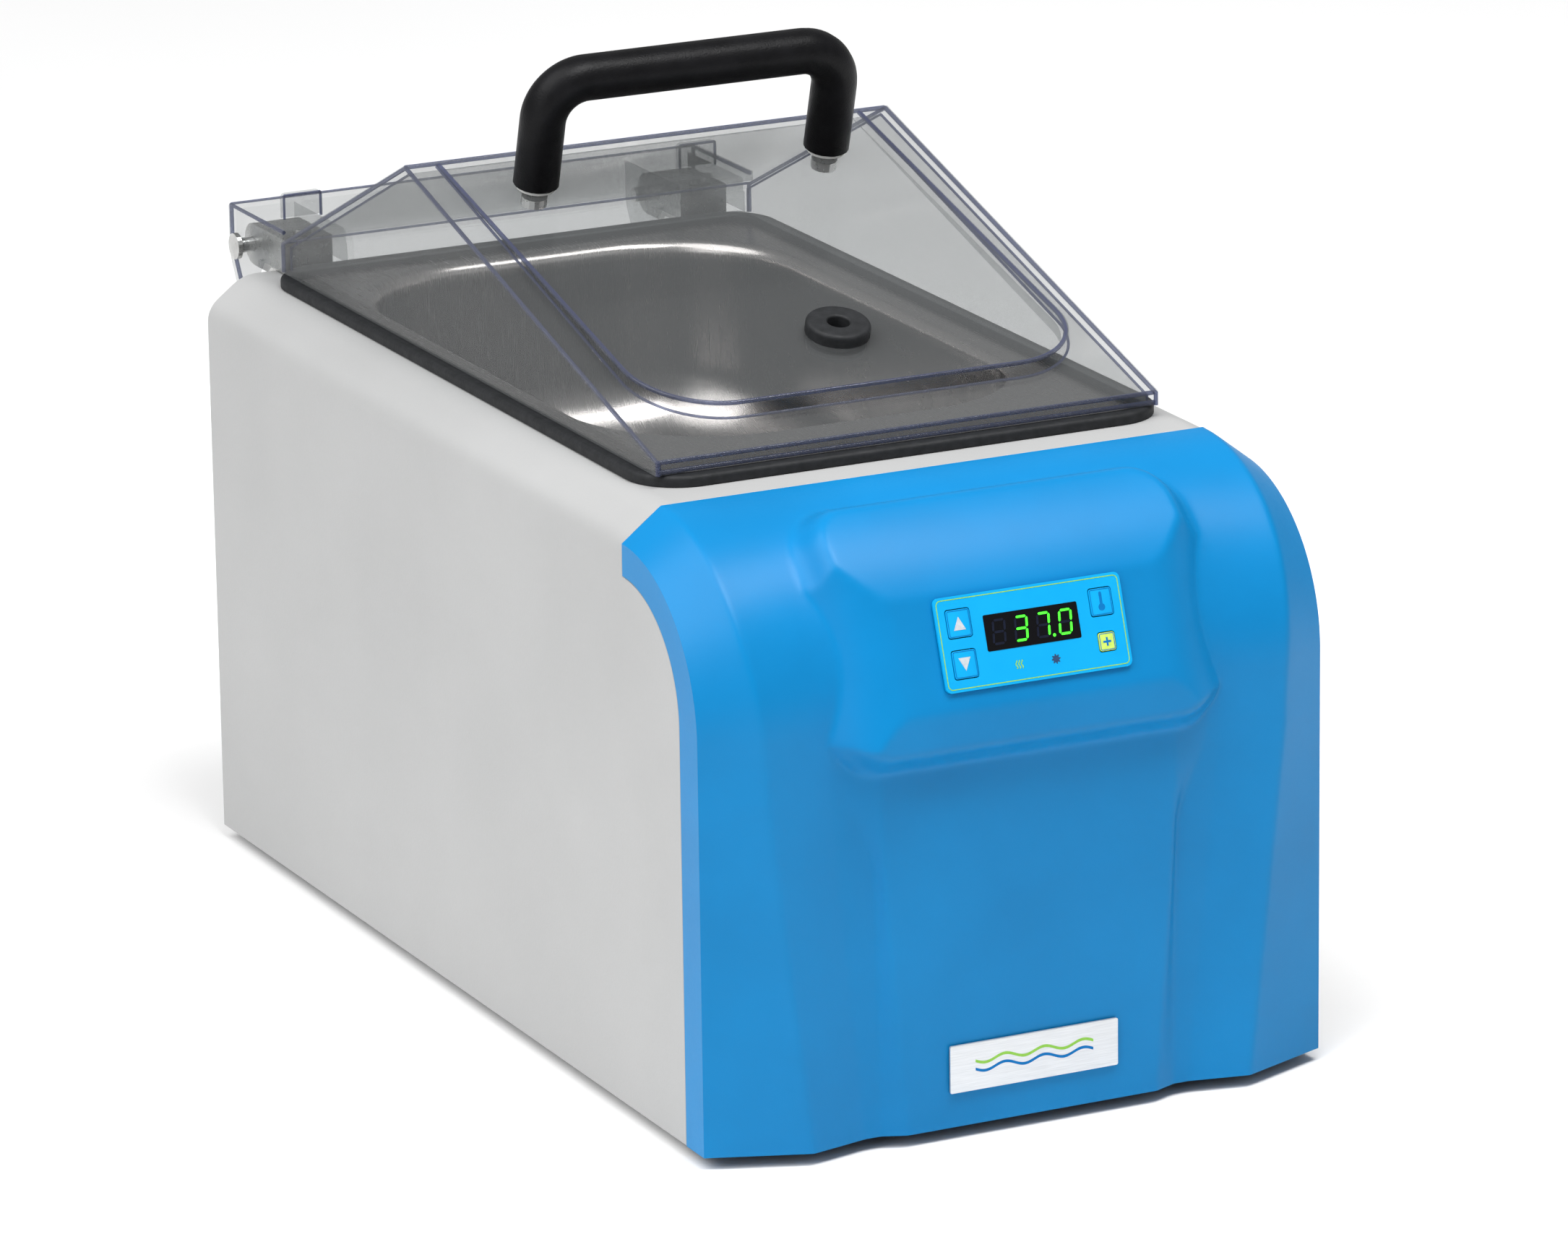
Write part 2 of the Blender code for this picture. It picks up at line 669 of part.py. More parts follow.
def plateau(name, inset, datum):
    """Raised field of the front slope: high at the front, level with the slope at the ridge."""
    drop = inset / math.cos(SLOPE)
    y0, y1 = PLATEAU_FRONT + inset, LID_APEX[0] - 1 * MM
    _, z0 = slope_point(y0)
    _, z1 = slope_point(y1)
    low = z0 - 8 * MM
    wedge = [(y0, low), (y1, z1 - 8 * MM), (y1, z1 - drop + 0.4 * MM), (y0, z0 - drop + PLATEAU_RISE)]
    field = prism(name, wedge, "YZ", (-LID_HALF_WIDTH, LID_HALF_WIDTH), None, datum)
    outline = rounded_rectangle(PLATEAU_HALF_WIDTH - inset, y0, y1 + PLATEAU_CORNER,
                                PLATEAU_CORNER - inset)
    column = prism(name + "_outline", outline, "XY", (HEIGHT, HEIGHT + 90 * MM), None, datum)
    boolean(field, column, "INTERSECT")
    return field


def make_lid(pivot):
    """Clear gabled lid with a raised field, a rear channel and four hinge ears."""
    wide = (-LID_HALF_WIDTH, LID_HALF_WIDTH)
    lid = prism("lid", gable_outline(0, LID_BOTTOM), "YZ", wide, clear_plastic(), pivot)
    boolean(lid, plateau("join_plateau", 0, pivot), "UNION")
    narrow = (-LID_HALF_WIDTH + LID_WALL, LID_HALF_WIDTH - LID_WALL)
    hollow = prism("cut_lid_hollow", gable_outline(LID_WALL, LID_BOTTOM - 5 * MM), "YZ", narrow,
                   None, pivot)
    boolean(lid, hollow)
    boolean(lid, plateau("cut_plateau", LID_WALL, pivot))

    start = LID_REAR[0] - 1.5 * MM
    channel_bottom = CHANNEL_TOP - LID_WALL
    channel = [(start, LID_REAR[1] - 3 * MM), (start + 2.5 * MM, LID_REAR[1] - 3 * MM),
               (start + 2.5 * MM, channel_bottom), (CHANNEL_REAR, channel_bottom),
               (CHANNEL_REAR, CHANNEL_TOP - 1 * MM), (CHANNEL_REAR - 1 * MM, CHANNEL_TOP),
               (start, CHANNEL_TOP)]
    boolean(lid, prism("join_channel", channel, "YZ", wide, None, pivot), "UNION")
    tip = HINGE_Z - 15 * MM
    ear = [(start, HINGE_Z - 1 * MM), (HINGE_Y - 17 * MM, HINGE_Z - 1 * MM),
           (HINGE_Y - 7 * MM, tip + 2 * MM), (HINGE_Y - 5 * MM, tip), (HINGE_Y + 1 * MM, tip),
           (HINGE_Y + 3 * MM, tip + 2 * MM), (CHANNEL_REAR - 1 * MM, HINGE_Z - 6 * MM),
           (CHANNEL_REAR, HINGE_Z - 3 * MM), (CHANNEL_REAR, channel_bottom + 1 * MM),
           (start, channel_bottom + 1 * MM)]
    for side in (-1, 1):
        for number, (inner, outer) in enumerate(EAR_SPANS):
            span = (min(side * inner, side * outer), max(side * inner, side * outer))
            piece = prism(f"join_ear_{side}_{number}", ear, "YZ", span, None, pivot)
            boolean(lid, piece, "UNION")
        middle = side * (BRACKET_SPAN[0] + BRACKET_SPAN[1]) / 2
        tab = box(f"join_tab_{side}", (14 * MM, 2.5 * MM, 9 * MM),
                  (middle, 366 * MM, CHANNEL_TOP + 4 * MM), None, pivot)
        boolean(lid, tab, "UNION")
    hole = cylinder("cut_pin_holes", PIN_HOLE_R, WIDTH, (0, HINGE_Y, HINGE_Z), (1, 0, 0), None,
                    pivot, 20)
    boolean(lid, hole)
    normal = (0, -math.sin(SLOPE), math.cos(SLOPE))
    y, z = slope_point(GROMMET_Y)
    boolean(lid, cylinder("cut_grommet_hole", GROMMET_R - 2.2 * MM, 40 * MM, (0, y, z), normal, None,
                          pivot, 32))
    for side in (-1, 1):
        y, z = slope_point(HANDLE_Y)
        boolean(lid, cylinder(f"cut_screw_hole_{side}", 2.6 * MM, 40 * MM,
                              (side * HANDLE_HALF_SPAN, y, z), normal, None, pivot, 20))
    return lid


def plateau_height(y):
    """Height of the raised field over the slope at a place along the lid."""
    length = LID_APEX[0] - 1 * MM - PLATEAU_FRONT
    rise = blend(PLATEAU_RISE, 0.4 * MM, (y - PLATEAU_FRONT) / length)
    return rise * math.cos(SLOPE)


def make_handle(pivot):
    """Bow handle with straight legs, its two washers and the screws under the lid."""
    base = plateau_height(HANDLE_Y) + 1.6 * MM
    span, bend = HANDLE_HALF_SPAN, HANDLE_BEND
    route = [(-span, base)]
    route += arc((-span + bend, HANDLE_RISE - bend), bend, 180, 90, 6)
    route += arc((span - bend, HANDLE_RISE - bend), bend, 90, 0, 6) + [(span, base)]
    curve = bpy.data.curves.new("lid_handle", "CURVE")
    curve.dimensions = "3D"
    curve.bevel_depth = HANDLE_R
    curve.bevel_resolution = 3
    curve.use_fill_caps = True
    spline = curve.splines.new("POLY")
    spline.points.add(len(route) - 1)
    for point, (x, out) in zip(spline.points, route):
        y, z = slope_point(HANDLE_Y, out)
        point.co = (x, y, z, 1)
    origin = datum_offset(pivot)
    place = Matrix.Translation(-origin)
    handle = solid_from_curve("lid_handle", curve, black_plastic(), pivot, place)
    handle.location = (0, 0, 0)
    shade_round(handle)

    normal = (0, -math.sin(SLOPE), math.cos(SLOPE))
    under = plateau_height(HANDLE_Y) - LID_WALL - GAP
    nylon = material("nylon", (0.7, 0.7, 0.7), 0.4)
    for side, word in SIDES:
        x = side * HANDLE_HALF_SPAN
        y, z = slope_point(HANDLE_Y, plateau_height(HANDLE_Y) + 0.8 * MM)
        cylinder("handle_washer_" + word, 6.2 * MM, 1.0 * MM, (x, y, z), normal, nylon, pivot, 20)
        y, z = slope_point(HANDLE_Y, under - 1.5 * MM)
        cylinder("handle_screw_" + word, 4.2 * MM, 3.0 * MM, (x, y, z), normal, steel(), pivot, 16)
    return handle


def make_grommet(pivot):
    """Rubber port for a thermometer, gripping the lid's wall in its groove."""
    top = plateau_height(GROMMET_Y) + GAP
    low = top - LID_WALL - 2 * GAP
    r, hole, neck = GROMMET_R, GROMMET_HOLE_R, GROMMET_R - 2.2 * MM - GAP
    profile = [(hole, top + 3.4 * MM), (hole + 0.6 * MM, top + 4 * MM), (r - 1 * MM, top + 4 * MM),
               (r, top + 3 * MM), (r, top), (neck, top), (neck, low), (r - 0.6 * MM, low),
               (r - 0.6 * MM, low - 2.6 * MM), (hole, low - 2.6 * MM)]
    y, z = slope_point(GROMMET_Y)
    return turned("lid_grommet", profile, black_rubber(), pivot, (0, y, z), SLOPE)


# ---------------------------------------------------------------- hinges

def make_hinges(datum, pivot):
    """Two steel brackets on the deck's rear edge, and the pins that the lid turns on."""
    foot_front, foot_top = 361 * MM, HINGE_Z + 7 * MM
    knuckle = arc((HINGE_Y, HINGE_Z), 7 * MM, -90, 90, 8)
    outline = [(foot_front, HEIGHT + GAP), (HINGE_Y - 15 * MM, HEIGHT + GAP)]
    outline += [(HINGE_Y - 12 * MM, HINGE_Z - 7 * MM)] + knuckle + [(foot_front, foot_top)]
    inner, outer = BRACKET_SPAN
    for side, word in SIDES:
        span = (min(side * inner, side * outer), max(side * inner, side * outer))
        bracket = prism("hinge_bracket_" + word, outline, "YZ", span, steel(), datum)
        bore = cylinder("cut_bore_" + word, PIN_HOLE_R, 40 * MM,
                        (side * (inner + outer) / 2, HINGE_Y, HINGE_Z), (1, 0, 0), None, datum, 20)
        boolean(bracket, bore)
        cylinder("hinge_screw_" + word, 3 * MM, 1.8 * MM,
                 (side * (inner + outer) / 2, foot_front + 5 * MM, foot_top + GAP + 0.9 * MM),
                 (0, 0, 1), steel(), datum, 16)
        length = EAR_SPANS[1][1] - EAR_SPANS[0][0] + 0.6 * MM
        head_x = side * (EAR_SPANS[1][1] + GAP + 0.8 * MM)
        pin_x = side * (EAR_SPANS[1][1] + EAR_SPANS[0][0]) / 2
        pin = cylinder("hinge_pin_" + word, PIN_R, length + 1 * MM, (pin_x, HINGE_Y, HINGE_Z),
                       (1, 0, 0), steel(), pivot, 20)
        head = cylinder("join_head_" + word, 4.4 * MM, 1.6 * MM, (head_x, HINGE_Y, HINGE_Z),
                        (1, 0, 0), None, pivot, 20)
        boolean(pin, head, "UNION")


# ---------------------------------------------------------------- rear and underside

def make_base_and_rear(datum):
    """Base plate, rear panel with its cut-outs, feet, and the screws that hold them."""
    half = WIDTH / 2 - SHEET - GAP
    thickness = 1.5 * MM
    box("base_plate", (2 * half, DEPTH - 24 * MM, thickness),
        (0, DEPTH / 2 + 7 * MM, BASE_UNDERSIDE + thickness / 2), white_paint(), datum)
    outline = [(-half, 2.3 * MM), (half, 2.3 * MM)]
    inner = fold(-half, HEIGHT - CHAMFER_H - 0.6 * MM, -half + CHAMFER_W - 0.4 * MM,
                 HEIGHT - SHEET - GAP)
    outline += [(-x, z) for x, z in inner] + list(reversed(inner))
    rear = prism("rear_panel", outline, "XZ", (DEPTH - 3 * MM, DEPTH - 1.5 * MM), white_paint(), datum)
    for name, (x, z, width, height) in REAR_CUTOUTS.items():
        cutter = box("cut_" + name, (width, 10 * MM, height), (x, DEPTH - 2 * MM, z), None, datum)
        boolean(rear, cutter)
    for row in range(4):
        slot = box(f"cut_vent_{row}", (52 * MM, 10 * MM, 3.2 * MM),
                   (-48 * MM, DEPTH - 2 * MM, (112 + 8 * row) * MM), None, datum)
        boolean(rear, slot)

    foot_length = FOOT_HEIGHT + BASE_UNDERSIDE - GAP
    foot_z = -FOOT_HEIGHT + foot_length / 2
    for side, word in SIDES:
        for y, place in ((32 * MM, "front"), (DEPTH - 30 * MM, "rear")):
            cylinder(f"foot_{place}_{word}", 9 * MM, foot_length, (side * 85 * MM, y, foot_z),
                     (0, 0, 1), black_rubber(), datum, 20)
        for z, place in ((14 * MM, "low"), (168 * MM, "high")):
            cylinder(f"rear_screw_{place}_{word}", 2.6 * MM, 1.4 * MM,
                     (side * 85 * MM, DEPTH - 0.4 * MM, z), (0, 1, 0), steel(), datum, 12)


REAR_CUTOUTS = {                    # name: (x, z, width, height)
    "inlet_hole": (60 * MM, 34 * MM, 27.6 * MM, 20.4 * MM),
    "switch_hole": (60 * MM, 66 * MM, 21.6 * MM, 13.6 * MM),
    "fuse_hole": (24 * MM, 34 * MM, 13.0 * MM, 13.0 * MM),
}


def make_power_fittings(datum, rocker_pivot):
    """Mains inlet, fuse holder, and the power switch with its rocker."""
    face = DEPTH - 1.5 * MM
    x, z, width, height = REAR_CUTOUTS["inlet_hole"]
    inlet = box("power_inlet", (width + 4 * MM, 3 * MM, height + 4 * MM),
                (x, face + GAP + 1.5 * MM, z), black_plastic(), datum, 0.6 * MM)
    body = box("join_inlet_body", (width - 1 * MM, 22 * MM, height - 1 * MM),
               (x, face - 9 * MM, z), None, datum)
    boolean(inlet, body, "UNION")
    cavity = box("cut_inlet_socket", (22.6 * MM, 18 * MM, 15 * MM), (x, face - 4.5 * MM, z), None, datum)
    boolean(inlet, cavity)
    brass = material("brass", (0.7, 0.6, 0.35), 0.35, 1.0)
    for word, dx, dz in (("live", -7 * MM, -1.5 * MM), ("neutral", 7 * MM, -1.5 * MM),
                         ("earth", 0, 2.5 * MM)):
        box("inlet_pin_" + word, (2 * MM, 12 * MM, 5 * MM), (x + dx, face - 7.2 * MM, z + dz), brass,
            datum)

    x, z, width, height = REAR_CUTOUTS["switch_hole"]
    bezel = box("switch_bezel", (width + 3 * MM, 2 * MM, height + 3 * MM),
                (x, face + GAP + 1 * MM, z), black_plastic(), datum, 0.5 * MM)
    body = box("join_switch_body", (width - 1 * MM, 18 * MM, height - 1 * MM),
               (x, face - 7.5 * MM, z), None, datum)
    boolean(bezel, body, "UNION")
    well = box("cut_switch_well", (width - 3.4 * MM, 12 * MM, height - 3.4 * MM),
               (x, face - 2 * MM, z), None, datum)
    boolean(bezel, well)
    half = (width - 5.0 * MM) / 2
    back, front, raised = face - 5.5 * MM, face + 2.6 * MM, face + 5.0 * MM
    rocker = [(x - half, back), (x + half, back), (x + half - 0.3 * MM, face - 0.5 * MM),
              (x + half - 2 * MM, raised), (x, front), (x - half + 0.3 * MM, front)]
    deep = (z - (height - 4.4 * MM) / 2, z + (height - 4.4 * MM) / 2)
    prism("power_rocker", rocker, "XY", deep, material("rocker", (0.5, 0.02, 0.02), 0.35),
          rocker_pivot)

    x, z, width, height = REAR_CUTOUTS["fuse_hole"]
    fuse = cylinder("fuse_holder", 9 * MM, 3 * MM, (x, face + GAP + 1.5 * MM, z), (0, 1, 0),
                    black_plastic(), datum, 24)
    barrel = cylinder("join_fuse_barrel", 6 * MM, 30 * MM, (x, face - 13 * MM, z), (0, 1, 0), None,
                      datum, 24)
    boolean(fuse, barrel, "UNION")
    slot = box("cut_fuse_slot", (8 * MM, 2 * MM, 1.4 * MM), (x, face + 3.5 * MM, z), None, datum)
    boolean(fuse, slot)


# ---------------------------------------------------------------- inside the housing

def make_heating(datum):
    """Heater mat, sensor and cut-out on the tank's floor, and the insulation below them."""
    floor = HEIGHT + GAP + TANK_SHEET - TANK_DEPTH - TANK_SHEET
    middle_y = (MOUTH[1] + MOUTH[2]) / 2
    orange = material("silicone_heater", (0.45, 0.10, 0.02), 0.6)
    box("heater_mat", (78 * MM, 160 * MM, 2.4 * MM), (0, middle_y, floor - GAP - 1.2 * MM), orange,
        datum)
    below = floor - 2 * GAP - 2.4 * MM
    cylinder("overheat_cutout", 8 * MM, 9 * MM, (20 * MM, middle_y + 30 * MM, below - 4.5 * MM),
             (0, 0, 1), black_plastic(), datum, 24)
    cylinder("temperature_probe", 3 * MM, 40 * MM, (-20 * MM, middle_y, below - 3 * MM), (0, 1, 0),
             steel(), datum, 16)
    foam = box("insulation", (176 * MM, 262 * MM, 12 * MM), (0, middle_y, below - 16 * MM),
               material("foam", (0.75, 0.72, 0.62), 0.9), datum)
    return foam


def make_electronics(datum):
    """Power board with its heat sink, relay and transformer, on the base plate."""
    green = material("circuit_board", (0.02, 0.16, 0.06), 0.5)
    base = 2.4 * MM
    for x, word in ((-64 * MM, "left"), (24 * MM, "right")):
        for y, place in ((120 * MM, "front"), (230 * MM, "rear")):
            cylinder(f"board_spacer_{place}_{word}", 3 * MM, 5 * MM, (x, y, base + 2.5 * MM), (0, 0, 1),
                     steel(), datum, 12)
    box("power_board", (100 * MM, 122 * MM, 1.6 * MM), (-20 * MM, 175 * MM, base + 6.6 * MM), green,
        datum)
    top = base + 7.4 * MM + GAP
    box("transformer", (38 * MM, 34 * MM, 32 * MM), (-46 * MM, 200 * MM, top + 16 * MM),
        material("transformer_core", (0.2, 0.2, 0.22), 0.5, 0.6), datum, 1 * MM)
    box("power_relay", (16 * MM, 28 * MM, 18 * MM), (4 * MM, 205 * MM, top + 9 * MM), black_plastic(),
        datum, 0.8 * MM)
    sink = box("heat_sink", (44 * MM, 30 * MM, 26 * MM), (-10 * MM, 145 * MM, top + 13 * MM),
               material("aluminium", (0.6, 0.6, 0.62), 0.4, 1.0), datum)
    for i in range(6):
        gap = box(f"cut_fin_{i}", (4 * MM, 40 * MM, 20 * MM),
                  ((-28.5 + 7.4 * i) * MM, 145 * MM, top + 16.2 * MM), None, datum)
        boolean(sink, gap)


def make_nameplate(datum):
    """Plain metal plate low on the middle of the panel."""
    plate = box("nameplate", (57 * MM, 0.8 * MM, 15 * MM), (0, -11.7 * MM, 18.6 * MM),
                material("plate", (0.72, 0.73, 0.74), 0.35, 0.9), datum)
    return plate


def main():
    clear_scene()
    datum = empty("bath_datum", (0, -OVERALL_CENTRE_Y, FOOT_HEIGHT))
    pivot = empty("lid_axis", (0, HINGE_Y, HINGE_Z), datum)
    x, z = REAR_CUTOUTS["switch_hole"][:2]
    rocker_pivot = empty("rocker_axis", (x, DEPTH - 4.2 * MM, z), datum)
    key_parents = {name: empty(name + "_guide", on_facet(across, up, 0), datum)
                   for name, (across, up, _, _) in KEYS.items()}
    make_housing_shell(datum)
    make_front_panel(datum)
    make_key_pad(datum, key_parents)
    make_nameplate(datum)
    make_tank(datum)
    make_tank_gasket(datum)
    make_lid(pivot)
    make_handle(pivot)
    make_grommet(pivot)
    make_hinges(datum, pivot)
    make_base_and_rear(datum)
    make_power_fittings(datum, rocker_pivot)
    make_heating(datum)
    make_electronics(datum)
    bpy.context.view_layer.update()


main()
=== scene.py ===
"""Looks of the laboratory water bath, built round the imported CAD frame.

Lengths are in metres. Pieces are modelled from the bath's datum, the middle of the housing's
front bottom edge, and the datum's place is read from the frame.
"""
import math

import bmesh
import bpy
import numpy as np
from mathutils import Matrix, Vector


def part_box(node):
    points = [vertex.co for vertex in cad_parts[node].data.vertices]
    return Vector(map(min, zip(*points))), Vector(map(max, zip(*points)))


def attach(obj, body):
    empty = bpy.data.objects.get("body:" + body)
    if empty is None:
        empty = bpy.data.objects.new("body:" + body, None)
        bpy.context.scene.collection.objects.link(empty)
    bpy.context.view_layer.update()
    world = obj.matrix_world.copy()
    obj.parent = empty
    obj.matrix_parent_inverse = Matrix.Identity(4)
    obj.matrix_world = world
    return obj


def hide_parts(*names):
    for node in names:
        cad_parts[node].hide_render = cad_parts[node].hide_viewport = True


MM = 0.001
GAP = 0.3 * MM
PRINT = 0.06 * MM                   # thickness of printed ink

# ---- Sizes shared with the CAD model ----
WIDTH = 210 * MM
DEPTH = 370 * MM
HEIGHT = 188 * MM
SHEET = 1.5 * MM
CHAMFER_W = 13 * MM
CHAMFER_H = 10 * MM
ARC_CENTRE_Y = 50 * MM
CORNER_ARC_R = 50 * MM
ARC_CENTRE_Z = HEIGHT - CHAMFER_H - CORNER_ARC_R
CHEEK_DEPTH = 12 * MM
CHEEK_ARC_R = ARC_CENTRE_Y - CHEEK_DEPTH
PANEL_WALL = 2.5 * MM
FACET_TILT = math.radians(19)
FACET_ORIGIN = Vector((0, -12 * MM, 150 * MM))
FACET_UP = Vector((0, math.sin(FACET_TILT), math.cos(FACET_TILT)))
FACET_OUT = Vector((0, -math.cos(FACET_TILT), math.sin(FACET_TILT)))
POD_HEIGHT = 8 * MM
POD_HALF_WIDTH = 66 * MM
POD_BOTTOM = 113 * MM
POD_TOP_ANGLE = math.radians(72)
POD_CORNER = 18 * MM
POD_SLOPE = 9 * MM
PAD_SIZE = (62.5 * MM, 28.5 * MM)
PAD_MIDDLE = 1.5 * MM
PAD_THICKNESS = 0.8 * MM
WINDOW_SIZE = (31.4 * MM, 10.9 * MM)
WINDOW_UP = 1.8 * MM
KEYS = {                            # name: (across, up, width, height)
    "up_key": (-23.8 * MM, 6.0 * MM, 7.8 * MM, 8.4 * MM),
    "down_key": (-23.8 * MM, -6.2 * MM, 7.8 * MM, 8.4 * MM),
    "temperature_key": (23.8 * MM, 6.0 * MM, 7.4 * MM, 8.2 * MM),
    "calibration_key": (23.8 * MM, -6.0 * MM, 5.4 * MM, 5.6 * MM),
}
FLANGE = (83 * MM, 69.5 * MM, 352.5 * MM)
MOUTH = (72 * MM, 108 * MM, 342 * MM)
MOUTH_CORNER = 46 * MM
TANK_DEPTH = 65 * MM
TANK_FLOOR_R = 26 * MM
TANK_SHEET = 1.0 * MM
TANK_RIM_R = 4 * MM
TANK_DRAFT = 1.5 * MM
GASKET = (89 * MM, 63 * MM, 359 * MM)
GASKET_TOP = HEIGHT + 3.6 * MM
LID_HALF_WIDTH = 85.5 * MM
LID_WALL = 2.5 * MM
LID_BOTTOM = GASKET_TOP + GAP
LID_FRONT = (67 * MM, 196.5 * MM)
LID_APEX = (250 * MM, 249 * MM)
LID_REAR = (352 * MM, 202 * MM)
PLATEAU_HALF_WIDTH = 75 * MM
PLATEAU_FRONT = 85 * MM
PLATEAU_CORNER = 27 * MM
PLATEAU_RISE = 4.5 * MM
SLOPE = math.atan2(LID_APEX[1] - LID_FRONT[1], LID_APEX[0] - LID_FRONT[0])
NORMAL = (0, -math.sin(SLOPE), math.cos(SLOPE))
HINGE_Y = 388 * MM
HINGE_Z = 193 * MM
PIN_HOLE_R = 2.5 * MM
EAR_SPANS = ((59.5 * MM, 62.0 * MM), (83.0 * MM, 85.5 * MM))
CHANNEL_REAR = 396 * MM
CHANNEL_TOP = 206 * MM
HANDLE_HALF_SPAN = 51 * MM
HANDLE_Y = 226 * MM
HANDLE_R = 7.4 * MM
HANDLE_RISE = 38.5 * MM
HANDLE_BEND = 13.5 * MM
HANDLE_SCREW_HOLE_R = 2.6 * MM
GROMMET_Y = 117 * MM
GROMMET_R = 10.2 * MM
GROMMET_HOLE_R = 3.5 * MM

# ---- Camera ----
LENS = 202.0                        # millimetres, on a 36 mm sensor
CAMERA_PLACE = Vector((-1.1634, -2.2302, 0.8967))
CAMERA_AZIMUTH = math.radians(-25.82)
CAMERA_ELEVATION = math.radians(16.48)
CAMERA_ROLL = math.radians(-0.83)
CAMERA_SHIFT = (0.0161, 0.0032)

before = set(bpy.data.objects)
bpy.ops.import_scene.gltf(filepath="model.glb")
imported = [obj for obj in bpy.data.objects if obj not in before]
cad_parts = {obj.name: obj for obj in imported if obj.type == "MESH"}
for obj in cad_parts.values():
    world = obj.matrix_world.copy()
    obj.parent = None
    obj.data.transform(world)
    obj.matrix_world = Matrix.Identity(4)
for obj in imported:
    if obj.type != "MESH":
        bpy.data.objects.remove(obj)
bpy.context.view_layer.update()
DATUM = Vector((0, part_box("housing_shell")[1].y - DEPTH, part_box("housing_shell")[0].z))


# ---------------------------------------------------------------- node helpers

class Look:
    """A Principled material and short calls for the nodes that drive it."""

    def __init__(self, name, colour, roughness, **sockets):
        self.material = bpy.data.materials.new(name)
        self.material.use_nodes = True
        self.tree = self.material.node_tree
        self.shader = self.tree.nodes["Principled BSDF"]
        self.output = self.tree.nodes["Material Output"]
        self.shader.inputs["Base Color"].default_value = (*colour, 1.0)
        self.shader.inputs["Roughness"].default_value = roughness
        for key, value in sockets.items():
            self.shader.inputs[key.replace("_", " ")].default_value = value
        self.place = self.node("ShaderNodeTexCoord").outputs["Object"]

    def node(self, kind, **values):
        made = self.tree.nodes.new(kind)
        for key, value in values.items():
            setattr(made, key, value)
        return made

    def link(self, start, end):
        self.tree.links.new(start, end)

    def stretched(self, scale):
        """Object coordinates with their own scale on each axis."""
        mapping = self.node("ShaderNodeMapping")
        mapping.inputs["Scale"].default_value = scale
        self.link(self.place, mapping.inputs["Vector"])
        return mapping.outputs["Vector"]

    def noise(self, scale, detail=4.0, vector=None):
        made = self.node("ShaderNodeTexNoise")
        made.inputs["Scale"].default_value = scale
        made.inputs["Detail"].default_value = detail
        self.link(vector or self.place, made.inputs["Vector"])
        return made.outputs["Fac"]

    def vary_colour(self, factor, first, second, low=0.3, high=0.7):
        """Drive the base colour between two colours."""
        ramp = self.node("ShaderNodeValToRGB")
        ramp.color_ramp.elements[0].position = low
        ramp.color_ramp.elements[1].position = high
        ramp.color_ramp.elements[0].color = (*first, 1)
        ramp.color_ramp.elements[1].color = (*second, 1)
        self.link(factor, ramp.inputs["Fac"])
        self.link(ramp.outputs["Color"], self.shader.inputs["Base Color"])

    def vary_roughness(self, factor, low, high):
        """Drive the roughness between two values."""
        span = self.node("ShaderNodeMapRange")
        span.inputs["To Min"].default_value = low
        span.inputs["To Max"].default_value = high
        self.link(factor, span.inputs["Value"])
        self.link(span.outputs["Result"], self.shader.inputs["Roughness"])

    def bump(self, height, strength, distance):
        """Raise the surface by a height pattern."""
        made = self.node("ShaderNodeBump")
        made.inputs["Strength"].default_value = strength
        made.inputs["Distance"].default_value = distance
        self.link(height, made.inputs["Height"])
        self.link(made.outputs["Normal"], self.shader.inputs["Normal"])


LOOKS = {}


def look(name):
    """The named material, made the first time it is asked for."""
    if name not in LOOKS:
        LOOKS[name] = MAKERS[name]().material
    return LOOKS[name]


def powder_coat():
    """Fine-textured pale grey coat of the sheet metal."""
    made = Look("powder_coat", (0.45, 0.45, 0.44), 0.55, Coat_Weight=0.12, Coat_Roughness=0.4)
    made.vary_colour(made.noise(14, 3), (0.35, 0.352, 0.352), (0.375, 0.377, 0.377))
    made.vary_roughness(made.noise(900, 2), 0.5, 0.62)
    made.bump(made.noise(1500, 3), 0.12, 0.0004)
    return made


def blue_moulding():
    """Satin blue plastic of the front panel."""
    made = Look("blue_moulding", (0.0, 0.25, 0.60), 0.34, Specular_IOR_Level=0.2)
    made.vary_colour(made.noise(22, 3), (0.0, 0.165, 0.40), (0.0, 0.185, 0.445))
    made.vary_roughness(made.noise(700, 2), 0.32, 0.42)
    made.bump(made.noise(2600, 2), 0.05, 0.0002)
    return made


def see_through(name, colour, roughness, tint, face, edge):
    """A clear skin: open when faced, and more of a body towards its outline."""
    made = Look(name, colour, roughness, IOR=1.5, Specular_IOR_Level=0.8)
    made.vary_roughness(made.noise(40, 3), roughness * 0.6, roughness * 1.6)
    made.bump(made.noise(22, 2), 0.06, 0.002)
    facing = made.node("ShaderNodeLayerWeight")
    facing.inputs["Blend"].default_value = 0.35
    body = made.node("ShaderNodeMapRange")
    body.inputs["To Min"].default_value = face
    body.inputs["To Max"].default_value = edge
    made.link(facing.outputs["Facing"], body.inputs["Value"])
    clear = made.node("ShaderNodeBsdfTransparent")
    clear.inputs["Color"].default_value = (*tint, 1)
    mix = made.node("ShaderNodeMixShader")
    made.link(body.outputs["Result"], mix.inputs["Fac"])
    made.link(clear.outputs["BSDF"], mix.inputs[1])
    made.link(made.shader.outputs["BSDF"], mix.inputs[2])
    made.link(mix.outputs["Shader"], made.output.inputs["Surface"])
    return made


def clear_wall():
    """Clear polycarbonate of the lid, seen through its faces."""
    return see_through("clear_wall", (0.24, 0.25, 0.255), 0.07, (0.88, 0.885, 0.885), 0.05, 0.28)


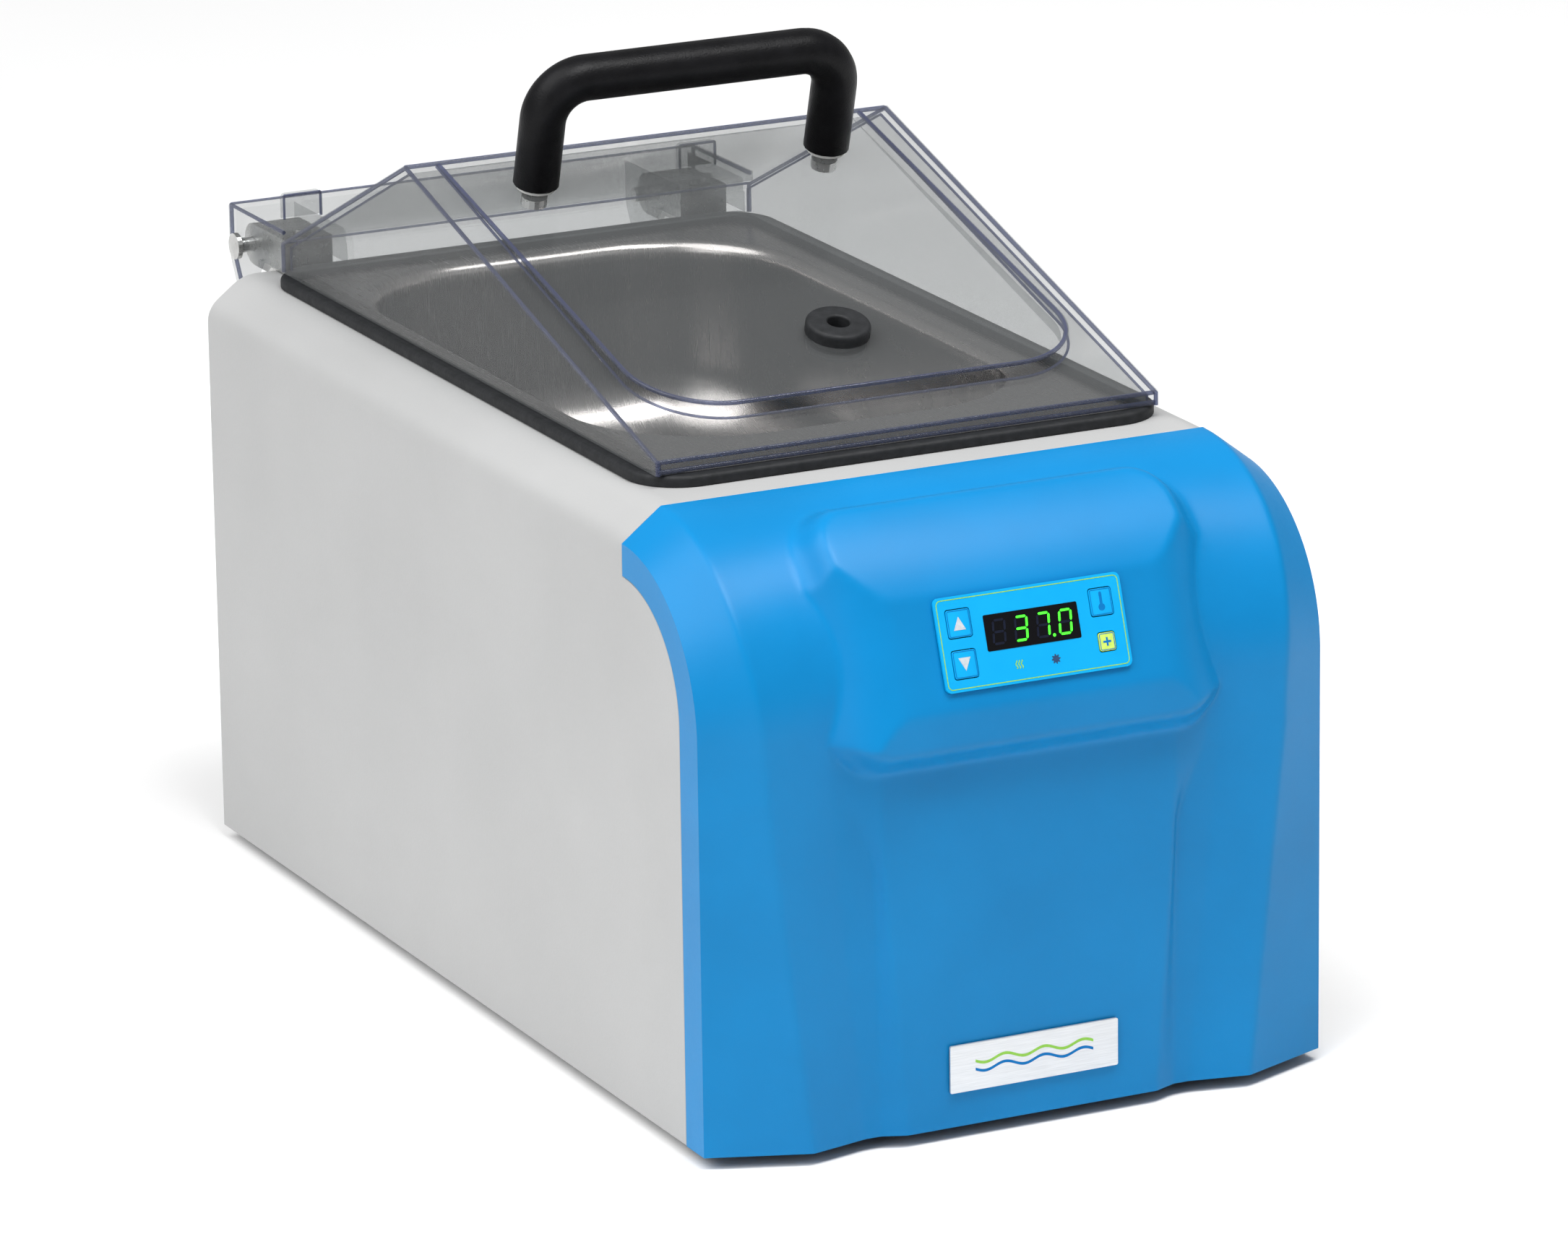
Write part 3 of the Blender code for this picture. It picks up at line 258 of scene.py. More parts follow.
def painted_edge_shade():
    """Painted shade: dark violet for the lines that refraction through the wall's thickness draws along the
    lid's edges.
    """
    return see_through("painted_edge_shade", (0.09, 0.10, 0.17), 0.12, (0.50, 0.53, 0.66), 0.30, 0.70)


def steel_painted_highlights():
    """Deep-drawn steel: dark walls, with painted highlights on the rim and the floor radius, set by a colour
    ramp over height.
    """
    made = Look("steel_painted_highlights", (0.13, 0.125, 0.12), 0.27, Metallic=1.0)
    height = made.node("ShaderNodeSeparateXYZ")
    made.link(made.place, height.inputs["Vector"])
    span = made.node("ShaderNodeMapRange")
    span.inputs["From Min"].default_value = HEIGHT - TANK_DEPTH
    span.inputs["From Max"].default_value = HEIGHT + 2 * MM
    made.link(height.outputs["Z"], span.inputs["Value"])
    ramp = made.node("ShaderNodeValToRGB")
    # Painted highlights: bright bands at the floor radius and at the rolled rim stand in for their
    # reflections.
    highlight_bands = ((0.0, 0.13), (0.06, 0.16), (0.15, 0.75), (0.27, 0.20), (0.4, 0.13), (0.90, 0.15),
             (0.95, 0.85), (1.0, 0.30))
    elements = ramp.color_ramp.elements
    while len(elements) < len(highlight_bands):
        elements.new(0.5)
    for element, (place, shade_value) in zip(elements, highlight_bands):
        element.position = place
        element.color = (shade_value, shade_value * 0.94, shade_value * 0.91, 1)
    made.link(span.outputs["Result"], ramp.inputs["Fac"])
    made.link(ramp.outputs["Color"], made.shader.inputs["Base Color"])
    made.vary_roughness(made.noise(90, 4, made.stretched((30, 1, 1))), 0.2, 0.32)
    made.bump(made.noise(120, 3, made.stretched((50, 1, 1))), 0.05, 0.0002)
    return made


def bright_steel():
    """Bright steel of screws, pins and brackets."""
    made = Look("bright_steel", (0.55, 0.55, 0.54), 0.28, Metallic=1.0)
    made.vary_colour(made.noise(200, 4), (0.48, 0.48, 0.47), (0.62, 0.62, 0.61))
    made.vary_roughness(made.noise(500, 3), 0.2, 0.38)
    made.bump(made.noise(1200, 2), 0.05, 0.0002)
    return made


def rubber():
    """Matt black rubber."""
    made = Look("black_rubber", (0.008, 0.009, 0.010), 0.6, Specular_IOR_Level=0.3)
    made.vary_colour(made.noise(300, 4), (0.006, 0.007, 0.008), (0.014, 0.015, 0.017))
    made.vary_roughness(made.noise(260, 3), 0.5, 0.75)
    made.bump(made.noise(900, 4), 0.25, 0.0004)
    return made


def black_moulding():
    """Black plastic with a fine texture."""
    made = Look("black_moulding", (0.004, 0.004, 0.005), 0.42, Specular_IOR_Level=0.12)
    made.vary_colour(made.noise(120, 3), (0.003, 0.003, 0.0035), (0.006, 0.006, 0.007))
    made.vary_roughness(made.noise(500, 2), 0.3, 0.45)
    made.bump(made.noise(1800, 2), 0.3, 0.0003)
    return made


def pad_film():
    """Printed film of the key pad."""
    made = Look("pad_film", (0.0, 0.32, 0.66), 0.4, Specular_IOR_Level=0.2)
    made.vary_colour(made.noise(60, 2), (0.0, 0.31, 0.65), (0.002, 0.335, 0.69))
    made.bump(made.noise(3000, 2), 0.1, 0.0002)
    return made


def tinted_lens():
    """Dark window over the display."""
    made = Look("tinted_lens", (0.002, 0.002, 0.003), 0.14, Specular_IOR_Level=0.15)
    made.vary_roughness(made.noise(200, 2), 0.08, 0.16)
    return made


def printed(name, colour, other):
    """A flat printing ink with a little unevenness."""
    def make():
        made = Look(name, colour, 0.45, Specular_IOR_Level=0.15)
        made.vary_colour(made.noise(900, 2), colour, other)
        made.vary_roughness(made.noise(1200, 2), 0.4, 0.55)
        return made
    return make


def lit_segment():
    """A glowing bar of the display."""
    made = Look("lit_segment", (0.05, 0.9, 0.02), 0.4, Emission_Strength=1.1)
    made.shader.inputs["Emission Color"].default_value = (0.05, 1.0, 0.02, 1)
    made.vary_colour(made.noise(2000, 2), (0.04, 0.8, 0.02), (0.06, 0.95, 0.03))
    return made


def metal_plate():
    """Satin metal with a grain along its length."""
    made = Look("satin_plate", (0.62, 0.63, 0.64), 0.38, Metallic=0.7)
    made.vary_colour(made.noise(120, 4, made.stretched((1, 1, 30))), (0.58, 0.59, 0.60),
                     (0.68, 0.69, 0.70))
    made.vary_roughness(made.noise(90, 3, made.stretched((1, 1, 40))), 0.32, 0.46)
    return made


def plain(name, colour, other, roughness, metallic=0.0, scale=300):
    """A simple inner or small part with fine colour and roughness variation."""
    def make():
        made = Look(name, colour, roughness, Metallic=metallic)
        made.vary_colour(made.noise(scale, 4), colour, other)
        made.vary_roughness(made.noise(scale * 2, 3), roughness * 0.85, min(1.0, roughness * 1.2))
        made.bump(made.noise(scale * 5, 3), 0.15, 0.0002)
        return made
    return make


MAKERS = {
    "powder_coat": powder_coat,
    "blue_moulding": blue_moulding,
    "clear_wall": clear_wall,
    "painted_edge_shade": painted_edge_shade,
    "steel_painted_highlights": steel_painted_highlights,
    "bright_steel": bright_steel,
    "rubber": rubber,
    "black_moulding": black_moulding,
    "pad_film": pad_film,
    "tinted_lens": tinted_lens,
    "lit_segment": lit_segment,
    "metal_plate": metal_plate,
    "unlit_segment": printed("unlit_segment", (0.004, 0.006, 0.016), (0.006, 0.009, 0.022)),
    "lime_ink": printed("lime_ink", (0.22, 0.48, 0.06), (0.27, 0.54, 0.08)),
    "dark_ink": printed("dark_ink", (0.02, 0.05, 0.12), (0.03, 0.06, 0.14)),
    "line_ink": printed("line_ink", (0.0, 0.13, 0.38), (0.0, 0.15, 0.42)),
    "grey_ink": printed("grey_ink", (0.42, 0.46, 0.50), (0.50, 0.53, 0.56)),
    "lime_key": printed("lime_key", (0.45, 0.62, 0.10), (0.52, 0.70, 0.14)),
    "nylon": plain("nylon", (0.62, 0.62, 0.60), (0.70, 0.70, 0.68), 0.45),
    "brass": plain("brass", (0.62, 0.55, 0.36), (0.70, 0.63, 0.42), 0.3, 1.0),
    "circuit_board": plain("circuit_board", (0.01, 0.11, 0.04), (0.02, 0.17, 0.06), 0.45),
    "heater": plain("heater", (0.40, 0.08, 0.02), (0.50, 0.11, 0.03), 0.6),
    "foam": plain("foam", (0.60, 0.57, 0.48), (0.72, 0.69, 0.60), 0.9, 0.0, 700),
    "aluminium": plain("aluminium", (0.52, 0.52, 0.54), (0.62, 0.62, 0.64), 0.35, 1.0),
    "core": plain("core", (0.10, 0.10, 0.11), (0.16, 0.16, 0.17), 0.5, 0.7),
    "rocker": plain("rocker", (0.42, 0.01, 0.01), (0.50, 0.02, 0.02), 0.3),
}


# ---------------------------------------------------------------- mesh helpers

def finish_piece(obj, finish, body, replaced=()):
    """Give a piece its material and its body, and hide the CAD nodes it stands for."""
    obj.data.materials.clear()
    obj.data.materials.append(look(finish))
    obj.location = DATUM
    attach(obj, body)
    if replaced:
        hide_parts(*replaced)
    return obj


def object_from(name, bm):
    """Turn a bmesh into a linked object with its faces pointing out."""
    bmesh.ops.recalc_face_normals(bm, faces=bm.faces)
    mesh = bpy.data.meshes.new(name)
    bm.to_mesh(mesh)
    bm.free()
    obj = bpy.data.objects.new(name, mesh)
    bpy.context.scene.collection.objects.link(obj)
    return obj


def apply_modifiers(obj):
    """Replace an object's mesh by its evaluated mesh."""
    bpy.context.view_layer.update()
    evaluated = obj.evaluated_get(bpy.context.evaluated_depsgraph_get())
    mesh = bpy.data.meshes.new_from_object(evaluated)
    obj.modifiers.clear()
    obj.data = mesh
    return obj


def shade(obj, angle=30):
    """Smooth shading with sharp edges kept."""
    obj.data.shade_smooth()
    obj.data.set_sharp_from_angle(angle=math.radians(angle))
    return obj


def thicken(obj, thickness):
    """Give an open surface a wall."""
    solidify = obj.modifiers.new("wall", "SOLIDIFY")
    solidify.thickness = thickness
    solidify.offset = -1.0
    solidify.use_even_offset = True


def round_edges(obj, width, segments=2, angle=35):
    """Bevel the edges that are sharper than the angle."""
    bevel = obj.modifiers.new("rounded_edges", "BEVEL")
    bevel.width = width
    bevel.segments = segments
    bevel.limit_method = "ANGLE"
    bevel.angle_limit = math.radians(angle)


def even_normals(obj, angle=35):
    """Smooth shading that keeps large faces flat beside their rounded edges."""
    shade(obj, angle)
    weighted = obj.modifiers.new("even_normals", "WEIGHTED_NORMAL")
    weighted.keep_sharp = True
    weighted.weight = 100
    apply_modifiers(obj)
    return obj


def boolean(obj, tool, operation="DIFFERENCE"):
    """Cut or join with a tool, then drop the tool."""
    modifier = obj.modifiers.new("shape", "BOOLEAN")
    modifier.operation = operation
    modifier.solver = "EXACT"
    modifier.object = tool
    apply_modifiers(obj)
    bpy.data.objects.remove(tool, do_unlink=True)
    return obj


PLANES = {
    "XY": Matrix(((1, 0, 0), (0, 1, 0), (0, 0, 1))),
    "YZ": Matrix(((0, 0, 1), (1, 0, 0), (0, 1, 0))),
    "XZ": Matrix(((1, 0, 0), (0, 0, -1), (0, 1, 0))),
    "FACET": Matrix((Vector((1, 0, 0)), FACET_UP, FACET_OUT)).transposed(),
}


def prism(name, outline, plane, span, place=(0, 0, 0), hole=None):
    """Extrude a flat outline along the normal of its plane."""
    curve = bpy.data.curves.new(name, "CURVE")
    curve.dimensions = "2D"
    curve.fill_mode = "BOTH"
    curve.extrude = abs(span[1] - span[0]) / 2
    for loop in filter(None, (outline, hole)):
        spline = curve.splines.new("POLY")
        spline.points.add(len(loop) - 1)
        for point, (x, y) in zip(spline.points, loop):
            point.co = (x, y, 0, 1)
        spline.use_cyclic_u = True
    sign = -1 if plane == "XZ" else 1
    shift = Matrix.Translation((0, 0, sign * (span[0] + span[1]) / 2))
    return mesh_from_curve(name, curve, Matrix.Translation(place) @ PLANES[plane].to_4x4() @ shift)


def mesh_from_curve(name, curve, place=Matrix()):
    """Turn a curve into a closed mesh object."""
    carrier = bpy.data.objects.new(name + "_curve", curve)
    bpy.context.scene.collection.objects.link(carrier)
    bpy.context.view_layer.update()
    mesh = bpy.data.meshes.new_from_object(carrier.evaluated_get(bpy.context.evaluated_depsgraph_get()))
    bm = bmesh.new()
    bm.from_mesh(mesh)
    bmesh.ops.remove_doubles(bm, verts=bm.verts, dist=1e-6)
    bmesh.ops.transform(bm, matrix=place, verts=bm.verts)
    bpy.data.objects.remove(carrier, do_unlink=True)
    return object_from(name, bm)


def tube(name, route, radius, sides):
    """A round bar along a route of points."""
    curve = bpy.data.curves.new(name, "CURVE")
    curve.dimensions = "3D"
    curve.bevel_depth = radius
    curve.bevel_resolution = sides
    curve.use_fill_caps = True
    spline = curve.splines.new("POLY")
    spline.points.add(len(route) - 1)
    for point, co in zip(spline.points, route):
        point.co = (*co, 1)
    return mesh_from_curve(name, curve)


def turned(name, profile, place, direction, sides=64):
    """Turn a closed (radius, height) profile about an axis."""
    bm = bmesh.new()
    rings = []
    for step in range(sides):
        angle = 2 * math.pi * step / sides
        rings.append([bm.verts.new((r * math.cos(angle), r * math.sin(angle), h)) for r, h in profile])
    count = len(profile)
    for i in range(sides):
        here, there = rings[i], rings[(i + 1) % sides]
        for j in range(count):
            k = (j + 1) % count
            bm.faces.new((here[j], there[j], there[k], here[k]))
    turn = Vector((0, 0, 1)).rotation_difference(Vector(direction)).to_matrix().to_4x4()
    bmesh.ops.remove_doubles(bm, verts=bm.verts, dist=1e-6)
    bmesh.ops.transform(bm, matrix=Matrix.Translation(place) @ turn, verts=bm.verts)
    return shade(object_from(name, bm))


def arc(centre, radius, start, end, steps):
    """Points along an arc, angles in degrees."""
    angles = [math.radians(start + (end - start) * step / steps) for step in range(steps + 1)]
    return [(centre[0] + radius * math.cos(a), centre[1] + radius * math.sin(a)) for a in angles]


def rounded_rectangle(half_width, low, high, radius, steps=16):
    """Outline of a rectangle with round corners, symmetric in x."""
    x, r = half_width - radius, radius
    return (arc((x, low + r), r, -90, 0, steps) + arc((x, high - r), r, 0, 90, steps)
            + arc((-x, high - r), r, 90, 180, steps) + arc((-x, low + r), r, 180, 270, steps))


def ring_loft(name, rings, closed=True, cap=False):
    """Skin a list of rings that have the same number of points."""
    bm = bmesh.new()
    rows = [[bm.verts.new(point) for point in ring] for ring in rings]
    pairs = list(zip(rows, rows[1:]))
    if closed:
        pairs.append((rows[-1], rows[0]))
    for lower, upper in pairs:
        for i in range(len(lower)):
            j = (i + 1) % len(lower)
            bm.faces.new((lower[i], lower[j], upper[j], upper[i]))
    if cap:
        bm.faces.new(rows[-1])
    return object_from(name, bm)


def clamp(value, low=0.0, high=1.0):
    """Keep a value within its limits."""
    return max(low, min(high, value))


def smooth(value):
    """Ease a value from 0 to 1."""
    value = clamp(value)
    return value * value * (3 - 2 * value)


def blend(first, second, amount):
    """A value part of the way from the first to the second."""
    return first + (second - first) * amount


# ---------------------------------------------------------------- housing

def fold(x0, z0, x1, z1, steps=8):
    """A chamfer from (x0, z0) to (x1, z1) with both corners eased."""
    dx, dz = x1 - x0, z1 - z0
    length = math.hypot(dx, dz)
    run = length * 0.3
    points = []
    for px, pz, ax, az, bx, bz in ((x0, z0, 0, -1, dx / length, dz / length),
                                   (x1, z1, -dx / length, -dz / length, math.copysign(1, dx), 0)):
        for step in range(steps + 1):
            t = step / steps
            first = (px + ax * run * (1 - t), pz + az * run * (1 - t))
            second = (px + bx * run * t, pz + bz * run * t)
            points.append((blend(first[0], second[0], t), blend(first[1], second[1], t)))
    return points


def make_housing():
    """Folded shell with its eased chamfers, front cut and tank hole."""
    half = WIDTH / 2
    path = [(-half, 0.0)] + fold(-half, HEIGHT - CHAMFER_H, -half + CHAMFER_W, HEIGHT)
    path += [(-x, z) for x, z in reversed(path)]
    bm = bmesh.new()
    rows = [[bm.verts.new((x, y, z)) for x, z in path] for y in (0, DEPTH)]
    for i in range(len(path) - 1):
        bm.faces.new((rows[0][i], rows[0][i + 1], rows[1][i + 1], rows[1][i]))
    shell = object_from("housing", bm)
    thicken(shell, SHEET)
    apply_modifiers(shell)
    top, low = HEIGHT + 5 * MM, -1 * MM
    outline = [(CHEEK_DEPTH + GAP, low)]
    outline += arc((ARC_CENTRE_Y, HEIGHT - 20 * MM - CHEEK_ARC_R), CHEEK_ARC_R - GAP, 180, 93, 30)
    outline += [(ARC_CENTRE_Y + GAP, HEIGHT - 20 * MM), (ARC_CENTRE_Y + GAP, top), (-20 * MM, top),
                (-20 * MM, low)]
    boolean(shell, prism("front_cut", outline, "YZ", (-WIDTH, WIDTH)))
    half_width, front, rear = FLANGE
    inset = 5 * MM
    mouth = rounded_rectangle(half_width - inset, front + inset, rear - inset, 10 * MM)
    boolean(shell, prism("tank_hole", mouth, "XY", (HEIGHT - 10 * MM, HEIGHT + 10 * MM)))
    round_edges(shell, 0.45 * MM, 2, 50)
    apply_modifiers(shell)
    even_normals(shell, 35)
    return finish_piece(shell, "powder_coat", "root", ["housing_shell"])


# ---------------------------------------------------------------- front panel

def profile_frame(t):
    """Point and outward normal, as (y, z) pairs, at length t along the panel's corner edge."""
    if t <= ARC_CENTRE_Z:
        return (0.0, t), (-1.0, 0.0)
    angle = (t - ARC_CENTRE_Z) / CORNER_ARC_R
    normal = (-math.cos(angle), math.sin(angle))
    return (ARC_CENTRE_Y + CORNER_ARC_R * normal[0], ARC_CENTRE_Z + CORNER_ARC_R * normal[1]), normal


def facet_offset(t, x):
    """Distance along the normal from the corner profile to the scooped control facet."""
    point, normal = profile_frame(t)
    reach = ((FACET_ORIGIN.y - point[0]) * FACET_OUT.y + (FACET_ORIGIN.z - point[1]) * FACET_OUT.z)
    facing = normal[0] * FACET_OUT.y + normal[1] * FACET_OUT.z
    side = max(0.0, abs(x) - 42 * MM)
    return reach / facing - 0.022 * side * side / MM


def pod_amount(t, x):
    """1 on the control pod, easing to 0 at its rounded outline."""
    top = ARC_CENTRE_Z + CORNER_ARC_R * POD_TOP_ANGLE
    middle, half = (top + POD_BOTTOM) / 2, (top - POD_BOTTOM) / 2
    dx = abs(x) - (POD_HALF_WIDTH - POD_CORNER)
    dt = abs(t - middle) - (half - POD_CORNER)
    outside = math.hypot(max(dx, 0), max(dt, 0)) + min(max(dx, dt), 0)
    return smooth((POD_CORNER - outside) / POD_SLOPE)


def panel_knots(t):
    """Half widths of the panel's long creases at length t."""
    low = clamp(t / (110 * MM))
    high = clamp((t - 110 * MM) / (95 * MM))
    ridge = blend(blend(74.3 * MM, 87 * MM, low), 92 * MM, smooth(high * 1.4))
    valley = blend(blend(55.0 * MM, 65.5 * MM, low), 69 * MM, smooth(high * 2.0))
    groove = blend(50 * MM, 62 * MM, smooth((t - 80 * MM) / (35 * MM)))
    field = blend(42.5 * MM, 49.5 * MM, clamp(t / (80 * MM)))
    return ridge, valley, groove, field


def panel_offset(t, x):
    """Height of the panel's surface over its corner profile."""
    ridge, valley, groove, field = panel_knots(t)
    end = smooth((t - ARC_CENTRE_Z) / (60 * MM))
    ridge_h = blend(12 * MM, 10 * MM, clamp(t / ARC_CENTRE_Z))
    valley_h = blend(7.8 * MM, 10 * MM, end)
    field_h = blend(11 * MM, 10 * MM, clamp(t / ARC_CENTRE_Z))
    knots = [(0, field_h), (field, field_h), (groove, valley_h), (valley, valley_h),
             (ridge, ridge_h), (WIDTH / 2, 0)]
    height = float(np.interp(abs(x), [k[0] for k in knots], [k[1] for k in knots]))
    amount = pod_amount(t, x)
    if amount <= 0:
        return height
    return max(height, min(field_h + POD_HEIGHT * amount, facet_offset(t, x)))


def soften_grid(values, passes):
    """Round the creases of a grid of heights, leaving its edges alone."""
    for _ in range(passes):
        inner = values[1:-1, 1:-1]
        cross = (values[:-2, 1:-1] + values[2:, 1:-1] + values[1:-1, :-2] + values[1:-1, 2:]) / 4
        values[1:-1, 1:-1] = inner * 0.5 + cross * 0.5
    return values


def cheek_point(t, side):
    """Rear edge of the panel's cheek, on the side plane of the housing."""
    centre_z = HEIGHT - 20 * MM - CHEEK_ARC_R
    angle = max(0.0, (t - ARC_CENTRE_Z) / CORNER_ARC_R)
    if angle == 0.0:
        return Vector((side * WIDTH / 2, CHEEK_DEPTH, t * centre_z / ARC_CENTRE_Z))
    y = ARC_CENTRE_Y - CHEEK_ARC_R * math.cos(angle)
    return Vector((side * WIDTH / 2, y, centre_z + CHEEK_ARC_R * math.sin(angle)))


def make_front_panel():
    """Moulded panel: corner facets, long creases, and the raised pod with its flat facet."""
    length = ARC_CENTRE_Z + CORNER_ARC_R * math.pi / 2
    rows = np.linspace(0, length, 240)
    columns = np.linspace(-WIDTH / 2, WIDTH / 2, 225)
    heights = np.array([[panel_offset(t, x) for x in columns] for t in rows])
    heights = soften_grid(heights, 2)
    bm = bmesh.new()
    grid = []
    for t, line in zip(rows, heights):
        point, normal = profile_frame(t)
        row = [cheek_point(t, -1)]
        row += [Vector((x, point[0] + normal[0] * h, point[1] + normal[1] * h))
                for x, h in zip(columns, line)]
        row.append(cheek_point(t, 1))
        grid.append([bm.verts.new(co) for co in row])
    for lower, upper in zip(grid, grid[1:]):
        for i in range(len(lower) - 1):
            bm.faces.new((lower[i], lower[i + 1], upper[i + 1], upper[i]))
    panel = object_from("panel", bm)
    thicken(panel, PANEL_WALL)
    apply_modifiers(panel)
    for across, up, width, height in list(KEYS.values()) + [(0, WINDOW_UP, *WINDOW_SIZE)]:
        grow = 0.4 * MM
        outline = rounded_rectangle(width / 2 + grow, -height / 2 - grow, height / 2 + grow, 1 * MM, 4)
        tool = prism("panel_cut", outline, "FACET", (-9 * MM, 3 * MM), on_facet(across, up, 0))
        boolean(panel, tool)
    shade(panel, 32)
    return finish_piece(panel, "blue_moulding", "root", ["front_panel"])


def on_facet(across, up, out):
    """A point on the control facet, measured from the middle of the key pad."""
    return FACET_ORIGIN + Vector((across, 0, 0)) + FACET_UP * (PAD_MIDDLE + up) + FACET_OUT * out


# ---------------------------------------------------------------- key pad

def plate_on_facet(name, width, height, radius, low, high, across=0.0, up=0.0, bevel=0.0):
    """A rounded plate parallel to the facet, from low to high over it."""
    outline = rounded_rectangle(width / 2, -height / 2, height / 2, radius, 6)
    plate = prism(name, outline, "FACET", (low, high), on_facet(across, up, 0))
    if bevel:
        round_edges(plate, bevel, 2, 40)
        apply_modifiers(plate)
    return shade(plate, 30)


def line_on_facet(name, width, height, radius, stroke, out, across=0.0, up=0.0):
    """A thin printed frame."""
    outer = rounded_rectangle(width / 2, -height / 2, height / 2, radius, 6)
    inner = rounded_rectangle(width / 2 - stroke, stroke - height / 2, height / 2 - stroke,
                              max(radius - stroke, 0.1 * MM), 6)
    return prism(name, outer, "FACET", (out, out + PRINT), on_facet(across, up, 0), inner)


def shape_on_facet(name, outline, out, across, up):
    """A printed shape on the control facet."""
    return prism(name, outline, "FACET", (out, out + PRINT), on_facet(across, up, 0))


def make_key_pad():
    """Printed film, its frame and status symbols, and the keys."""
    top = GAP + PAD_THICKNESS
    pad = plate_on_facet("pad_film", *PAD_SIZE, 2 * MM, GAP, top)
    for across, up, width, height in KEYS.values():
        outline = rounded_rectangle(width / 2 + 0.25 * MM, -height / 2 - 0.25 * MM,
                                    height / 2 + 0.25 * MM, 0.9 * MM, 4)
        boolean(pad, prism("pad_cut", outline, "FACET", (-1 * MM, 3 * MM), on_facet(across, up, 0)))
    finish_piece(shade(pad), "pad_film", "root", ["key_pad"])
    frame_line = line_on_facet("pad_frame", PAD_SIZE[0] - 1.6 * MM, PAD_SIZE[1] - 1.6 * MM, 1.6 * MM,
                               0.27 * MM, top)
    finish_piece(frame_line, "lime_ink", "root")
    make_keys(top)
    make_display(top)
    make_symbols(top)


def make_keys(top):
    """Four keys that stand a little over the film, each with its own mark."""
    marks = {"up_key": triangle(1), "down_key": triangle(-1), "temperature_key": thermometer(),
             "calibration_key": cross_mark()}
    for name, (across, up, width, height) in KEYS.items():
        body = name + "_body"
        face = top + 0.2 * MM
        finish = "lime_key" if name == "calibration_key" else "pad_film"
        key = plate_on_facet(name + "_cap", width - 0.1 * MM, height - 0.1 * MM, 0.8 * MM,
                             face - 4 * MM, face, across, up, 0.15 * MM)
        finish_piece(key, finish, body, [name])
        edge = line_on_facet(name + "_edge", width - 0.5 * MM, height - 0.5 * MM, 0.6 * MM,
                             0.22 * MM, face, across, up)
        finish_piece(edge, "line_ink", body)
        mark = shape_on_facet(name + "_mark", marks[name], face, across, up)
        ink = "grey_ink" if name in ("up_key", "down_key") else "line_ink"
        finish_piece(mark, ink, body)


def triangle(direction):
    """Outline of an arrow head that points up or down."""
    size = 2.0 * MM
    return [(-size, -direction * size), (size, -direction * size), (0, direction * size)][::direction]


def thermometer():
    """Outline of a small thermometer."""
    bulb, stem, length = 1.1 * MM, 0.45 * MM, 2.6 * MM
    join = math.degrees(math.asin(stem / bulb))
    low = -1.6 * MM
    return (arc((0, low), bulb, 90 + join, 450 - join, 16) + arc((0, length), stem, 0, 180, 8))


def cross_mark():
    """Outline of a small plus sign."""
    arm, half = 1.3 * MM, 0.3 * MM
    quarter = [(half, half), (half, arm), (-half, arm), (-half, half)]
    points = []
    for turn in range(4):
        for x, y in quarter[1:]:
            for _ in range(turn):
                x, y = -y, x
            points.append((x, y))
    return points


def make_display(top):
    """Dark lens with a four-digit seven-segment reading behind its face."""
    lens = plate_on_facet("display_glass", WINDOW_SIZE[0], WINDOW_SIZE[1], 0.5 * MM, top,
                          top + 0.1 * MM, 0, WINDOW_UP)
    finish_piece(lens, "tinted_lens", "root")
    face = top + 0.1 * MM
    pitch, slant = 7.4 * MM, 0.10
    segments = {"off": "", "3": "abgcd", "7": "abc", "0": "abcdef"}
    for place, digit in enumerate(("off", "3", "7", "0")):
        middle = (place - 1.5) * pitch
        for segment in "abcdefg":
            lit = segment in segments[digit]
            piece = digit_segment(f"digit_{place}_{segment}", segment, middle, slant, face)
            finish_piece(piece, "lit_segment" if lit else "unlit_segment", "root")
    dot_place = 1.0 * pitch - 0.2 * MM
    dot = shape_on_facet("digit_point", arc((dot_place - 0.35 * MM, -3.5 * MM), 0.5 * MM, 0, 345, 14),
                         face, 0, WINDOW_UP)
    finish_piece(dot, "lit_segment", "root")


def digit_segment(name, segment, middle, slant, out):
    """One bar of a digit: a six-sided bar, leaning with the digit."""
    half_w, half_h, thick, trim = 1.9 * MM, 3.5 * MM, 0.36 * MM, 0.2 * MM
    flat = {"a": half_h, "g": 0.0, "d": -half_h}
    if segment in flat:
        y, reach = flat[segment], half_w - trim
        bar = [(-reach, y), (-reach + thick, y - thick), (reach - thick, y - thick), (reach, y),
               (reach - thick, y + thick), (-reach + thick, y + thick)]
    else:
        x = half_w if segment in "bc" else -half_w
        low, high = (trim, half_h - trim) if segment in "bf" else (-half_h + trim, -trim)
        bar = [(x, low), (x + thick, low + thick), (x + thick, high - thick), (x, high),
               (x - thick, high - thick), (x - thick, low + thick)]
    return shape_on_facet(name, [(x + y * slant + middle, y) for x, y in bar], out, 0, WINDOW_UP)


def make_symbols(top):
    """Heat waves and an alarm sun, printed under the display."""
    for i in range(3):
        centre = -7.2 * MM + i * 0.9 * MM
        wave = [(centre + 0.28 * MM * math.sin(s * 1.2), -10.0 * MM + s * 0.36 * MM) for s in range(8)]
        band = wave + [(x + 0.35 * MM, y) for x, y in reversed(wave)]
        finish_piece(shape_on_facet(f"heat_wave_{i}", band[::-1], top, 0, 0), "lime_ink", "root")
    sun = []
    for step in range(32):
        radius = (1.5 if step % 4 < 2 else 1.0) * MM
        angle = 2 * math.pi * step / 32
        sun.append((6.2 * MM + radius * math.cos(angle), -8.8 * MM + radius * math.sin(angle)))
    finish_piece(shape_on_facet("alarm_sun", sun, top, 0, 0), "dark_ink", "root")


